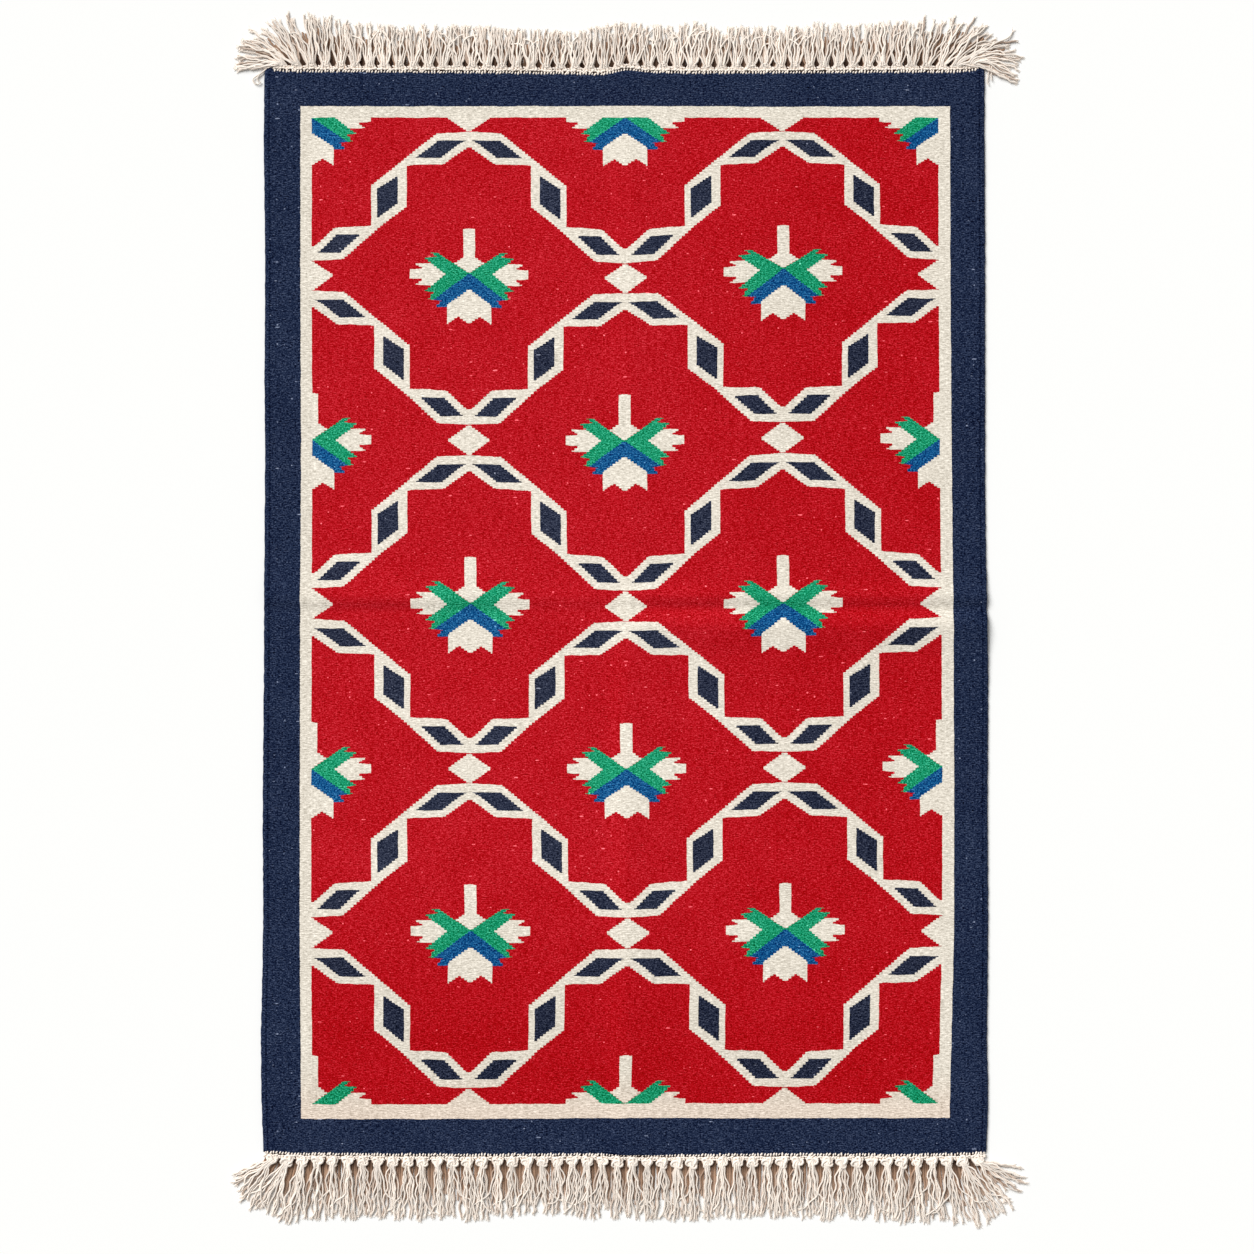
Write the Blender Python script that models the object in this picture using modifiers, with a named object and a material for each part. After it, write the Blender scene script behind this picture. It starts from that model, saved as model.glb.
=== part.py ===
"""A flat-woven cotton dhurrie rug, laid flat, with knotted fringe along both ends.

The rug lies on z = 0, its length runs along Y and its origin is under the middle of the whole.
The cloth is one thin sheet. Each fringe is one solid: a narrow heading strip beside the cloth's
edge, and on it a row of tassels, each with a neck, a knot and three locks that lie on the floor.
"""

import math
import random
from typing import NamedTuple

import bmesh
import bpy
from mathutils import Vector

# Cloth, in metres
CLOTH_LEFT = -0.600
CLOTH_RIGHT = 0.600
CLOTH_BOTTOM = -0.881
CLOTH_TOP = 0.908
CLOTH_THICKNESS = 0.004
RIM_ROUNDING = 0.0011
END_FADE = 0.10

# Folds left by storage: one across the rug, one along it
FOLD_ACROSS_Y = 0.028
FOLD_ALONG_X = 0.003
FOLD_TURNOVER = 0.060

# Fringe, in metres
GAP = 0.0003
TASSELS = 48
ROOT_SHARE = 0.62
HEADING_DEPTH = 0.008
HEADING_HEIGHT = 0.003
LOCKS = 3
LOCK_FAN_DISTANCE = 0.008
SWAY_DEG = 1.6
SWAY_TURN = 0.9
HEADING_JITTER_DEG = 1.0
LENGTH_JITTER = 0.05
CORNER_CUT_RUN = 0.020
STEEPEST_KNOT_DEG = 66.0


class EndRow(NamedTuple):
    """How far the two end edges stand out from their straight lines, at a place across the rug."""

    across: float
    top: float
    bottom: float


class SideRow(NamedTuple):
    """How far the two side edges stand out from their straight lines, at a place along the rug."""

    along: float
    left: float
    right: float


class FoldRow(NamedTuple):
    """How high a fold lifts the cloth at a distance from its line, on its first and second half."""

    offset: float
    first: float
    second: float


class TrunkRow(NamedTuple):
    """A section of a tassel between the heading and its locks."""

    step: float
    lean_share: float
    width: float
    height: float


class LockRow(NamedTuple):
    """A section of a lock. All its sections are the same distance apart."""

    width: float
    height: float


class End(NamedTuple):
    """One fringed end. Each corner's lean turns its locks outwards and fades over its run."""

    name: str
    side: int
    start: float
    stop: float
    lock_length: float
    fan_deg: float
    lean_left_deg: float
    run_left: float
    lean_right_deg: float
    run_right: float
    curl_share: float
    corner_cut: float
    seed: int


# The top edge has a small ear at each corner and a hump where the lengthwise fold meets it
END_ROWS = (
    EndRow(-0.6000, 0.003, -0.0040),
    EndRow(-0.5930, 0.012, -0.0038),
    EndRow(-0.5850, 0.003, -0.0034),
    EndRow(-0.5400, 0.002, -0.0010),
    EndRow(-0.4000, 0.001, 0.0000),
    EndRow(-0.2500, 0.000, 0.0010),
    EndRow(-0.0900, -0.002, 0.0000),
    EndRow(-0.0405, -0.003, 0.0000),
    EndRow(-0.0160, 0.000, 0.0005),
    EndRow(-0.0024, 0.004, 0.0010),
    EndRow(0.0084, 0.004, 0.0010),
    EndRow(0.0220, 0.002, 0.0015),
    EndRow(0.0465, 0.000, 0.0020),
    EndRow(0.1400, -0.001, 0.0010),
    EndRow(0.3000, 0.000, 0.0000),
    EndRow(0.4500, 0.001, 0.0010),
    EndRow(0.5400, 0.001, 0.0000),
    EndRow(0.5720, 0.002, -0.0015),
    EndRow(0.5900, 0.007, -0.0026),
    EndRow(0.6000, 0.010, -0.0034),
)

SIDE_ROWS = (
    SideRow(-0.881, 0.000, -0.004),
    SideRow(-0.790, 0.003, -0.001),
    SideRow(-0.690, 0.004, -0.003),
    SideRow(-0.500, 0.000, -0.001),
    SideRow(-0.300, 0.001, -0.002),
    SideRow(-0.100, -0.001, -0.001),
    SideRow(0.130, -0.002, -0.005),
    SideRow(0.270, -0.003, -0.006),
    SideRow(0.400, -0.002, -0.006),
    SideRow(0.600, -0.003, -0.006),
    SideRow(0.800, -0.001, -0.007),
    SideRow(0.908, -0.002, -0.007),
)

# Left of the middle the fold across stands up as a ridge, and right of it lies as a trough
ACROSS_FOLD_ROWS = (
    FoldRow(-0.150, 0.0000, 0.0000),
    FoldRow(-0.080, 0.0000, 0.0014),
    FoldRow(-0.035, 0.0000, 0.0032),
    FoldRow(-0.010, 0.0006, 0.0022),
    FoldRow(0.000, 0.0024, 0.0002),
    FoldRow(0.010, 0.0042, 0.0018),
    FoldRow(0.035, 0.0022, 0.0008),
    FoldRow(0.080, 0.0000, 0.0000),
)

# The fold along is a low ridge, higher in the lower half than in the upper one
ALONG_FOLD_ROWS = (
    FoldRow(-0.090, 0.0000, 0.0000),
    FoldRow(-0.030, 0.0010, 0.0004),
    FoldRow(0.000, 0.0026, 0.0014),
    FoldRow(0.030, 0.0008, 0.0004),
    FoldRow(0.090, 0.0000, 0.0000),
)

TRUNK_ROWS = (
    TrunkRow(0.005, 0.5, 0.0105, 0.0040),
    TrunkRow(0.005, 0.8, 0.0145, 0.0080),
    TrunkRow(0.005, 1.0, 0.0135, 0.0050),
)

LOCK_ROWS = (
    LockRow(0.0046, 0.0042),
    LockRow(0.0042, 0.0036),
    LockRow(0.0028, 0.0028),
)

ENDS = (
    End("fringe_top", 1, -0.583, 0.589, 0.064, 3.6, 100.0, 0.034, 98.0, 0.050, 0.17, 0.12, 11),
    End("fringe_bottom", -1, -0.597, 0.597, 0.090, 2.6, 80.0, 0.030, 88.0, 0.030, 0.02, 0.45, 23),
)

NAVY = (0.017, 0.027, 0.063)
COTTON = (0.66, 0.55, 0.47)


def between(rows, key, place, value):
    """Read a value from a table, on straight lines between its rows."""
    if place <= getattr(rows[0], key):
        return getattr(rows[0], value)
    for low, high in zip(rows, rows[1:]):
        if place <= getattr(high, key):
            start = getattr(low, key)
            share = (place - start) / (getattr(high, key) - start)
            return getattr(low, value) * (1 - share) + getattr(high, value) * share
    return getattr(rows[-1], value)


def smooth_step(value):
    """Go from 0 to 1 with a level start and end."""
    value = min(max(value, 0.0), 1.0)
    return value * value * (3 - 2 * value)


def fold_lift(across, along):
    """How high the folds lift the cloth off the floor."""
    offset = along - FOLD_ACROSS_Y
    right = smooth_step(0.5 + (across - FOLD_ALONG_X) / FOLD_TURNOVER)
    ridge = between(ACROSS_FOLD_ROWS, "offset", offset, "first")
    trough = between(ACROSS_FOLD_ROWS, "offset", offset, "second")
    upper = smooth_step(0.5 + offset / FOLD_TURNOVER)
    lower_ridge = between(ALONG_FOLD_ROWS, "offset", across - FOLD_ALONG_X, "first")
    upper_ridge = between(ALONG_FOLD_ROWS, "offset", across - FOLD_ALONG_X, "second")
    lift_across = ridge * (1 - right) + trough * right
    lift_along = lower_ridge * (1 - upper) + upper_ridge * upper
    return max(lift_across, lift_along)


def cloth_point(across, along):
    """A point of the cloth's underside: its nominal place, moved to the outline and the folds."""
    share = (across - CLOTH_LEFT) / (CLOTH_RIGHT - CLOTH_LEFT)
    left = between(SIDE_ROWS, "along", along, "left")
    right = between(SIDE_ROWS, "along", along, "right")
    near_top = max(0.0, 1 - (CLOTH_TOP - along) / END_FADE)
    near_bottom = max(0.0, 1 - (along - CLOTH_BOTTOM) / END_FADE)
    out_top = between(END_ROWS, "across", across, "top")
    out_bottom = between(END_ROWS, "across", across, "bottom")
    x = across - left * (1 - share) + right * share
    y = along + near_top * out_top - near_bottom * out_bottom
    return Vector((x, y, fold_lift(across, along)))


def grid_lines(rows, key, fold_rows, fold_place):
    """The cloth's grid lines: one at each row of its outline table and of its fold table."""
    lines = {round(getattr(row, key), 4) for row in rows}
    lines |= {round(fold_place + row.offset, 4) for row in fold_rows}
    return sorted(lines)


def make_material(name, colour, roughness):
    """A plain cotton finish."""
    material = bpy.data.materials.new(name)
    material.use_nodes = True
    shader = material.node_tree.nodes["Principled BSDF"]
    shader.inputs["Base Color"].default_value = (*colour, 1.0)
    shader.inputs["Roughness"].default_value = roughness
    shader.inputs["Metallic"].default_value = 0.0
    return material


def mesh_object(name, bm, material, collection):
    """Turn a bmesh into a named object in a collection."""
    mesh = bpy.data.meshes.new(name)
    bm.to_mesh(mesh)
    bm.free()
    mesh.materials.append(material)
    thing = bpy.data.objects.new(name, mesh)
    collection.objects.link(thing)
    return thing


def make_cloth(collection):
    """The woven cloth: a grid on the underside, thickened upwards, with its rim rounded off."""
    columns = grid_lines(END_ROWS, "across", ALONG_FOLD_ROWS, FOLD_ALONG_X)
    lines = grid_lines(SIDE_ROWS, "along", ACROSS_FOLD_ROWS, FOLD_ACROSS_Y)
    bm = bmesh.new()
    bmesh.ops.create_grid(bm, x_segments=len(columns) - 1, y_segments=len(lines) - 1, size=0.5)
    for vert in bm.verts:
        column = round((vert.co.x + 0.5) * (len(columns) - 1))
        line = round((vert.co.y + 0.5) * (len(lines) - 1))
        vert.co = cloth_point(columns[column], lines[line])
    material = make_material("woven_cotton", NAVY, 0.9)
    cloth = mesh_object("woven_body", bm, material, collection)
    thickness = cloth.modifiers.new("thickness", "SOLIDIFY")
    thickness.thickness = CLOTH_THICKNESS
    thickness.offset = 1.0
    rim = cloth.modifiers.new("rim", "BEVEL")
    rim.width = RIM_ROUNDING
    rim.segments = 1
    rim.limit_method = "ANGLE"
    rim.angle_limit = math.radians(60)


def outwards(end, heading):
    """The direction on the floor that is turned by a heading from straight out, positive to +X."""
    return Vector((math.sin(heading), end.side * math.cos(heading), 0.0))


def sideways(end, heading):
    """The direction on the floor square to a heading, on its +X side."""
    return Vector((math.cos(heading), -end.side * math.sin(heading), 0.0))


def corner_lean(end, place):
    """How far a lock turns outwards at a place along the heading."""
    left = math.radians(end.lean_left_deg) * math.exp(-(place - end.start) / end.run_left)
    right = math.radians(end.lean_right_deg) * math.exp(-(end.stop - place) / end.run_right)
    return right - left


def corner_length(end, place):
    """The length of a lock at a place along the heading: the corner locks are shorter."""
    distance = min(place - end.start, end.stop - place)
    return end.lock_length * (1 - end.corner_cut * math.exp(-distance / CORNER_CUT_RUN))


def push(bm, face):
    """Extrude one face and give back its new end face."""
    return bmesh.ops.extrude_discrete_faces(bm, faces=[face])["faces"][0]


def set_section(end, face, centre, heading, row):
    """Put a four-sided end face square across its heading, with its lower side on the floor."""
    middle = face.calc_center_median()
    across = sideways(end, heading)
    for vert in face.verts:
        half = row.width / 2 if (vert.co - middle).dot(across) > 0 else -row.width / 2
        z = row.height if vert.co.z > middle.z else 0.0
        vert.co = Vector((centre.x, centre.y, z)) + across * half


def split_for_locks(bm, face, across):
    """Divide a tassel's end face side by side, one face for each lock, in order from the left."""
    level = [edge for edge in face.edges if edge.verts[0].co.z == edge.verts[1].co.z]
    inner = bmesh.ops.subdivide_edges(bm, edges=level, cuts=LOCKS - 1)["geom_inner"]
    dividers = [part for part in inner if isinstance(part, bmesh.types.BMEdge)]
    faces = {face for edge in dividers for face in edge.link_faces}
    return sorted(faces, key=lambda part: part.calc_center_median().dot(across))


def grow_lock(bm, end, face, length, heading, curl, rng):
    """Grow one lock from its face along the floor."""
    centre = face.calc_center_median()
    length *= 1 + rng.uniform(-LENGTH_JITTER, LENGTH_JITTER)
    for row in LOCK_ROWS:
        jitter = math.radians(rng.uniform(-HEADING_JITTER_DEG, HEADING_JITTER_DEG))
        centre = centre + outwards(end, heading + jitter) * (length / len(LOCK_ROWS))
        face = push(bm, face)
        set_section(end, face, centre, heading + jitter, row)
        heading += curl


def grow_tassel(bm, end, root, number, rng):
    """Grow one tassel from its root face: neck, knot, and the locks that leave the knot."""
    pitch = (end.stop - end.start) / TASSELS
    place = end.start + pitch * (number + 0.5)
    sway = math.radians(SWAY_DEG) * math.sin(SWAY_TURN * number + end.seed)
    steepest = math.radians(STEEPEST_KNOT_DEG)
    lean = min(max(corner_lean(end, place) + sway, -steepest), steepest)
    centre = root.calc_center_median()
    face = root
    for row in TRUNK_ROWS:
        heading = lean * row.lean_share
        centre = centre + outwards(end, heading) * row.step
        face = push(bm, face)
        set_section(end, face, centre, heading, row)
    for index, lock_face in enumerate(split_for_locks(bm, face, sideways(end, lean))):
        turn = index - (LOCKS - 1) / 2
        lock_place = place + turn * LOCK_FAN_DISTANCE
        corner = corner_lean(end, lock_place)
        heading = corner + sway + turn * math.radians(end.fan_deg)
        length = corner_length(end, lock_place)
        grow_lock(bm, end, lock_face, length, heading, corner * end.curl_share, rng)


def heading_grid(end):
    """The heading's places across the rug: the two sides of each tassel's root, and both tips."""
    pitch = (end.stop - end.start) / TASSELS
    places = [end.start]
    for number in range(TASSELS):
        middle = end.start + pitch * (number + 0.5)
        places += [middle - pitch * ROOT_SHARE / 2, middle + pitch * ROOT_SHARE / 2]
    return places + [end.stop]


def make_fringe(end, collection):
    """One fringe: the heading strip along the cloth's edge and the tassels that grow from it."""
    places = heading_grid(end)
    edge_line = CLOTH_TOP if end.side > 0 else CLOTH_BOTTOM
    bm = bmesh.new()
    bmesh.ops.create_grid(bm, x_segments=len(places) - 1, y_segments=1, size=0.5)
    for part in bmesh.ops.extrude_face_region(bm, geom=bm.faces[:])["geom"]:
        if isinstance(part, bmesh.types.BMVert):
            part.co.z = HEADING_HEIGHT
    outer = [face for face in bm.faces if all(vert.co.y > 0 for vert in face.verts)]
    outer.sort(key=lambda face: face.calc_center_median().x)
    for vert in bm.verts:
        edge = cloth_point(places[round((vert.co.x + 0.5) * (len(places) - 1))], edge_line)
        depth = GAP + HEADING_DEPTH if vert.co.y > 0 else GAP
        vert.co = Vector((edge.x, edge.y + end.side * depth, vert.co.z))
    rng = random.Random(end.seed)
    for number, root in enumerate(outer[1::2]):
        grow_tassel(bm, end, root, number, rng)
    bmesh.ops.recalc_face_normals(bm, faces=bm.faces[:])
    material = make_material(end.name + "_cotton", COTTON, 0.9)
    mesh_object(end.name, bm, material, collection)


def main():
    for thing in list(bpy.data.objects):
        bpy.data.objects.remove(thing)
    rug = bpy.data.collections.new("dhurrie_rug")
    bpy.context.scene.collection.children.link(rug)
    make_cloth(rug)
    for end in ENDS:
        make_fringe(end, rug)


main()
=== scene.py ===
"""A flat-woven cotton dhurrie rug with a trellis and sprig pattern and knotted fringe at both ends.

The cloth is one thin sheet. Its pattern is charted in its material the way a weaver charts it, by
where each weft row changes colour. The fringe, its knots and the twined heading are yarn that
Geometry Nodes spin along guide lines. Lengths are in metres unless a name says otherwise.
"""

import math
import random
from typing import NamedTuple

import bmesh
import bpy
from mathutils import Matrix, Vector


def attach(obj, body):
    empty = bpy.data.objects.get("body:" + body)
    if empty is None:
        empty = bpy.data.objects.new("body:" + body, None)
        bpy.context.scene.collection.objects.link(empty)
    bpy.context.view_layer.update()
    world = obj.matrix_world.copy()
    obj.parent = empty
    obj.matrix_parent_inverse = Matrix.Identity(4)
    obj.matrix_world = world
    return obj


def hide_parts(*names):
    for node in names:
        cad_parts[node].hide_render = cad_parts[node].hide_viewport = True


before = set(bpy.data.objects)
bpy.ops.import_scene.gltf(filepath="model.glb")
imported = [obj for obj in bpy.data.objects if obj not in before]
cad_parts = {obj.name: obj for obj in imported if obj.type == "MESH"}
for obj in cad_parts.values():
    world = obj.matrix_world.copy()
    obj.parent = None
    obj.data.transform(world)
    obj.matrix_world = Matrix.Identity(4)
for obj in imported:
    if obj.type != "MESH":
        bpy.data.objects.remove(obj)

bl_info = {
    "name": "Dhurrie Rug",
    "version": (1, 0, 0),
    "blender": (4, 5, 0),
    "location": "3D View > Sidebar > Rug",
    "description": "Builds a flat-woven cotton rug with knotted fringe on its packed CAD frame",
    "category": "Object",
}

MM = 0.001
MM_PER_METRE = 1000.0
EYE_GAMMA = 2.2

# Cloth outline
CLOTH_LEFT = -0.600
CLOTH_RIGHT = 0.600
CLOTH_BOTTOM = -0.881
CLOTH_TOP = 0.908
END_FADE = 0.10
RIM_WOBBLE = 0.0005
RIM_WOBBLE_SEED = 5
RIM_ANGLE_DEG = 60
LEVEL_FACE = 0.9

# Folds left by storage: one across the rug, one along it. The ridge on the left fades inwards
FOLD_ACROSS_Y = 0.028
FOLD_ALONG_X = 0.003
FOLD_TURNOVER = 0.060
FOLD_SOFTENING = 0.003
FOLD_FADE_START = -0.26
FOLD_FADE_RUN = 0.16
FOLD_FADE_SHARE = 0.50

# Fringe layout
HEADING_DEPTH = 0.0083
HEADING_STEPS = 240
LOCK_FAN_DISTANCE = 0.0122
SWAY_DEG = 1.6
SWAY_TURN = 0.9
STEEPEST_KNOT_DEG = 66.0
CURL_SECTIONS = 3

# Loose strands: they open from the knot, lie in three layers and end in a few thin plies. A pair
# is the least and the most of a random value, but widths and shades run from start to tip. A
# strand's starts are a share of the tassel's width, a distance from the cloth and a height
STRAND_STARTS = ((0.46, 0.0042, 0.0018), (0.41, 0.0078, 0.0024))
TURNED_LEAN_SHARE = 0.7
STRIDE = 0.0072
OPENING_RUN = 0.014
LAYER_HEIGHT = 0.0016
LAYER_STEP = 0.0012
# Painted shade: the lower layers of a tassel are coloured darker, towards tan, as if shaded by the strands
# above
LAYER_PAINTED_SHADES = (0.38, 0.10, 0.0)
LAYER_SINK = 0.6
START_SINK = 5.0
FLOOR_GAP = 0.0004
SCATTER_DEG = 3.0
SCATTER_CORNER_SHARE = 0.07
WAVE_STEP = (0.9, 2.3)
SWING_DEG = (9, 25)
CORNER_EXTRA = (12, 8, 3)
TURN_SHUFFLE = 0.40
TURN_SPREAD = (0.8, 1.15)
GROUP_LENGTH = (0.92, 1.02)
STRAND_LENGTH = (0.95, 1.03)
SHORTEST_CUT = 0.30
STRAY_SHARE = 0.10
STRAY_BEND = (0.5, 1.5)
USUAL_BEND = 0.10
STRAND_RADIUS_SPREAD = (0.86, 1.14)
# STRAND_SHADE_SPREAD and TIP_SHADE scale that painted shade at random and towards the tip
STRAND_SHADE_SPREAD = (0.3, 1.4)
TIP_WIDTH = 0.90
TIP_SHADE = 0.6
FRAY_PLIES = 4
FRAY_PIECES = 3
FRAY_BACK = 0.0040
FRAY_BEND = (0.1, 0.5)
FRAY_FIRST_BEND = 0.3
FRAY_MORE_BEND = 0.5
FRAY_STRAY = (-0.25, 0.25)
FRAY_STRIDE = (0.0018, 0.0038)
FRAY_DROP = 0.0002
FRAY_LOWEST = 0.0008
FRAY_WIDTHS = (0.50, 0.16)
CURL_HEIGHT = 0.0030
CURL_STRIDE = 0.003
CURL_TIP_RADIUS = 0.0010
# Curls carry a little painted shade at their start
CURL_SHADES = (0.1, 0.0)
CURL_TONE = 0.5

# Dark strands laid on the floor under the tassels: painted shadow, standing in for the shade between the
# tassels and under the heading
UNDER_SEED = 100
UNDER_INSET = 0.007
UNDER_PLACE = (-0.0006, 0.0006)
UNDER_LEAN_SHARE = 0.85
UNDER_STEEPEST = 1.2
UNDER_START = 0.0003
UNDER_HEIGHTS = (0.0010, 0.0014)
UNDER_FIRST_LENGTH = 0.010
UNDER_REACH = (0.55, 0.88)
UNDER_STEPS = 7
UNDER_STRIDE = 0.009
UNDER_FIRST_TURN = 0.35
UNDER_WANDER_DEG = (-6, 6)
UNDER_SHADE_SPREAD = (0.90, 1.04)
UNDER_RADII = (0.0027, 0.0017)

# Rows of twined yarn at each end: distance from the edge, height, slant and size of the links
HEADING_ROWS = (
    (0.0004, 0.0036, 1.15, 0.86), (0.0046, 0.0034, 0.25, 1.00), (0.0080, 0.0032, -0.60, 0.86))

# Random values of the heading's links and of the knots, and the knots' points and sides
LINK_TURN = 0.45
LINK_SHIFT_X = 0.0009
LINK_SHIFT_Y = 0.0010
LINK_SIZE = (0.78, 1.24)
KNOT_TILT = 0.12
KNOT_SIZE = (0.85, 1.10)
KNOT_POINTS = 21
KNOT_SIDES = 6

# One half repeat of the pattern, in millimetres on the finished cloth, and how far its tables reach
HALF_REPEAT_X = 259.0
HALF_REPEAT_Y = 274.0
TRELLIS_REACH = 262.0
FILLED_BAND_Y = 52.0
SPRIG_LOW = -90.0
SPRIG_HIGH = 90.0
SPRIG_REACH = 100.0
CHART_ROUNDS = 3

# The weave's drift, its steps in a half repeat and how far it is pulled to them, across and along
DRIFT_SCALES = (0.035, 0.030)
DRIFT_MM = (2.0, 3.0)
BEAD_JITTER_MM = 0.5
STEP_COUNTS = (53, 238)
STEP_SHARES = (0.80, 0.50)

# Spots in the weave: their width and height in millimetres, and for flecks their largest size
GRAIN_SPOTS = (2.7, 1.8)
STREAK_SPOTS = (8.5, 1.7)
PATCH_SPOTS = (90.0, 60.0)
DOT_FLECKS = (12.0, 11.0, 0.130)
DASH_FLECKS = (36.0, 10.0, 0.110)
FLECK_POWER = 3.0

# How much each thing lightens or darkens the weave to the eye, with more or less on pale yarn
GRAIN_PUSH = 0.70
GRAIN_PUSH_PALE = -0.36
GRAIN_PUSH_LEAF = 0.44
STREAK_PUSH = 0.44
STREAK_PUSH_PALE = 0.18
BEAD_PUSH = 0.10
PATCH_PUSH = 0.07
SEAM_PUSH = -0.075
FALLOFF_SHADE_PUSH = -0.038
LINE_PUSH = -0.020
FLECK_PUSH = 0.36
FLECK_PUSH_PALE = -0.46

# Where those things are: green or green less red of the yarn, or millimetres
PALE_GREEN = (0.40, 0.70)
LEAF_GREEN = (0.03, 0.08)
SEAM_FROM_EDGE = 8.4
SEAM_HALF_WIDTH = (0.5, 2.2)
# Painted shade: the field darkens towards the right and the bottom, as light falling off from the upper
# left would make it
FALLOFF_SHADE_ACROSS = (60.0, 300.0)
FALLOFF_SHADE_ACROSS_SHARE = 0.6
FALLOFF_SHADE_ALONG = (-420.0, -680.0)
AGED_ALONG = (-740.0, -822.0)

# How age has turned the cream at the bottom, as a shift of its red, green and blue
AGED_TINT = (-0.008, -0.045, -0.052)

# How much each thing raises the weave in its bump, and how rough it is
BEAD_RISE = 0.55
UNEVEN_RISE = 0.25
GRAIN_RISE = 0.9
SEAM_RISE = -0.8
WEAVE_ROUGH = 0.88
WEAVE_ROUGH_GRAIN = 0.16

# Undyed yarn: its spots to a metre, their strength, its tone from strand to strand, the painted shade in
# the grooves between the plies of one, its roughness, its twist, and the painted shade on its flanks where
# strands shade each other
FINE_SPOTS = 900.0
SOFT_SPOTS = 60.0
FINE_SHARE = 0.34
SOFT_SHARE = 0.20
STRAND_TONE = 0.86
STRAND_TONE_RANGE = 0.28
PLY_GROOVE_SHADE = 0.90
PLY_GROOVE_SHADE_RANGE = 0.14
PLY_RISE_FINE = 0.5
YARN_ROUGH = 0.80
YARN_ROUGH_FINE = 0.14
TWIST_PITCH = 0.0042
FLANK_REACH = 0.70
FLANK_PAINTED_SHADE = 0.16

# How far apart the random rows of one Geometry Nodes tree start
SEED_STEP = 100.0

# Light and camera
SUN_SPREAD_DEG = 38
SUN_WAY = (0.62, -0.72, -0.78)
CAMERA_X = 0.0017
CAMERA_Y = -0.0091

# The tables' columns, after the place that each row starts with
TOP = 1
BOTTOM = 2
LEFT = 1
RIGHT = 2
FIRST = 1
SECOND = 2


class TrunkRow(NamedTuple):
    """A section of a tassel between the heading and its loose strands."""

    step: float
    lean_share: float
    half_width: float
    height: float


class End(NamedTuple):
    """One fringed end. Each corner's lean turns its strands outwards and fades over its run."""

    name: str
    side: int
    start: float
    stop: float
    fan_deg: float
    lean_left_deg: float
    run_left: float
    lean_right_deg: float
    run_right: float
    curl_share: float
    seed: int
    trunk: tuple
    opening_deg: float
    knot_size: tuple
    shadow_strand_shades: tuple
    loose_curls: tuple


class LatticeRow(NamedTuple):
    """Where the five columns of the pattern cross one of its rows, in millimetres."""

    across: tuple
    along: tuple


# A place across the rug, then how far its top and bottom edges stand out from straight lines
END_ROWS = (
    (-0.6, 0.003, -0.004), (-0.593, 0.012, -0.0038), (-0.585, 0.003, -0.0034),
    (-0.54, 0.002, -0.001), (-0.4, 0.001, 0.0), (-0.25, 0.0, 0.001),
    (-0.09, -0.002, 0.0), (-0.0405, -0.003, 0.0), (-0.016, 0.0, 0.0005),
    (-0.0024, 0.004, 0.001), (0.0084, 0.004, 0.001), (0.022, 0.002, 0.0015),
    (0.0465, 0.0, 0.002), (0.14, -0.001, 0.001), (0.3, 0.0, 0.0),
    (0.45, 0.001, 0.001), (0.54, 0.001, 0.0), (0.572, 0.002, -0.0015),
    (0.59, 0.007, -0.0026), (0.6, 0.01, -0.0034),
)

# A place along the rug, then how far its left and right edges stand out from straight lines
SIDE_ROWS = (
    (-0.881, 0.0, -0.004), (-0.79, 0.003, -0.001), (-0.69, 0.004, -0.003),
    (-0.5, 0.0, -0.001), (-0.3, 0.001, -0.002), (-0.1, -0.001, -0.001),
    (0.13, -0.002, -0.005), (0.27, -0.003, -0.006), (0.4, -0.002, -0.006),
    (0.6, -0.003, -0.006), (0.8, -0.001, -0.007), (0.908, -0.002, -0.007),
)

# The distance from the fold across, then its height on the left, where it stands up as a ridge,
# and on the right, where it lies as a trough
ACROSS_FOLD_ROWS = (
    (-0.15, 0.0, 0.0), (-0.08, 0.0, 0.0024), (-0.035, 0.0006, 0.0074),
    (-0.022, 0.0008, 0.005), (-0.01, 0.0, 0.0012), (-0.004, 0.0006, 0.0),
    (0.005, 0.0048, 0.0038), (0.011, 0.005, 0.0056), (0.035, 0.0024, 0.0018),
    (0.06, 0.0006, 0.0006), (0.09, 0.0, 0.0),
)

# The distance from the fold along, a low ridge, then its height in the lower and the upper half
ALONG_FOLD_ROWS = (
    (-0.09, 0.0, 0.0), (-0.032, 0.0003, 0.0002), (-0.004, 0.0028, 0.0012),
    (0.012, 0.0026, 0.0016), (0.04, 0.0014, 0.0008), (0.1, 0.0, 0.0),
)

# A place across the rug, then the length of the loose strands at the top and the bottom there
REACH_ROWS = (
    (-0.6, 0.058, 0.05), (-0.585, 0.066, 0.068), (-0.565, 0.071, 0.09),
    (-0.54, 0.07, 0.097), (-0.51, 0.072, 0.094), (-0.475, 0.062, 0.09),
    (-0.377, 0.054, 0.083), (-0.34, 0.058, 0.084), (-0.245, 0.057, 0.085),
    (-0.212, 0.053, 0.083), (-0.113, 0.048, 0.08), (-0.079, 0.048, 0.082),
    (-0.013, 0.06, 0.085), (0.053, 0.057, 0.081), (0.086, 0.053, 0.083),
    (0.119, 0.062, 0.089), (0.152, 0.053, 0.083), (0.218, 0.051, 0.083),
    (0.252, 0.056, 0.085), (0.384, 0.057, 0.083), (0.483, 0.064, 0.092),
    (0.517, 0.069, 0.095), (0.55, 0.077, 0.1), (0.572, 0.076, 0.1),
    (0.586, 0.068, 0.08), (0.6, 0.058, 0.058),
)

TRUNK_ROWS_TOP = (
    TrunkRow(0.005, 0.5, 0.0068, 0.0042),
    TrunkRow(0.005, 0.8, 0.0092, 0.0046),
    TrunkRow(0.005, 1.0, 0.0108, 0.0042),
)

TRUNK_ROWS_BOTTOM = (
    TrunkRow(0.005, 0.5, 0.0088, 0.0044),
    TrunkRow(0.005, 0.8, 0.0040, 0.0046),
    TrunkRow(0.005, 1.0, 0.0048, 0.0042),
)

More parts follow.
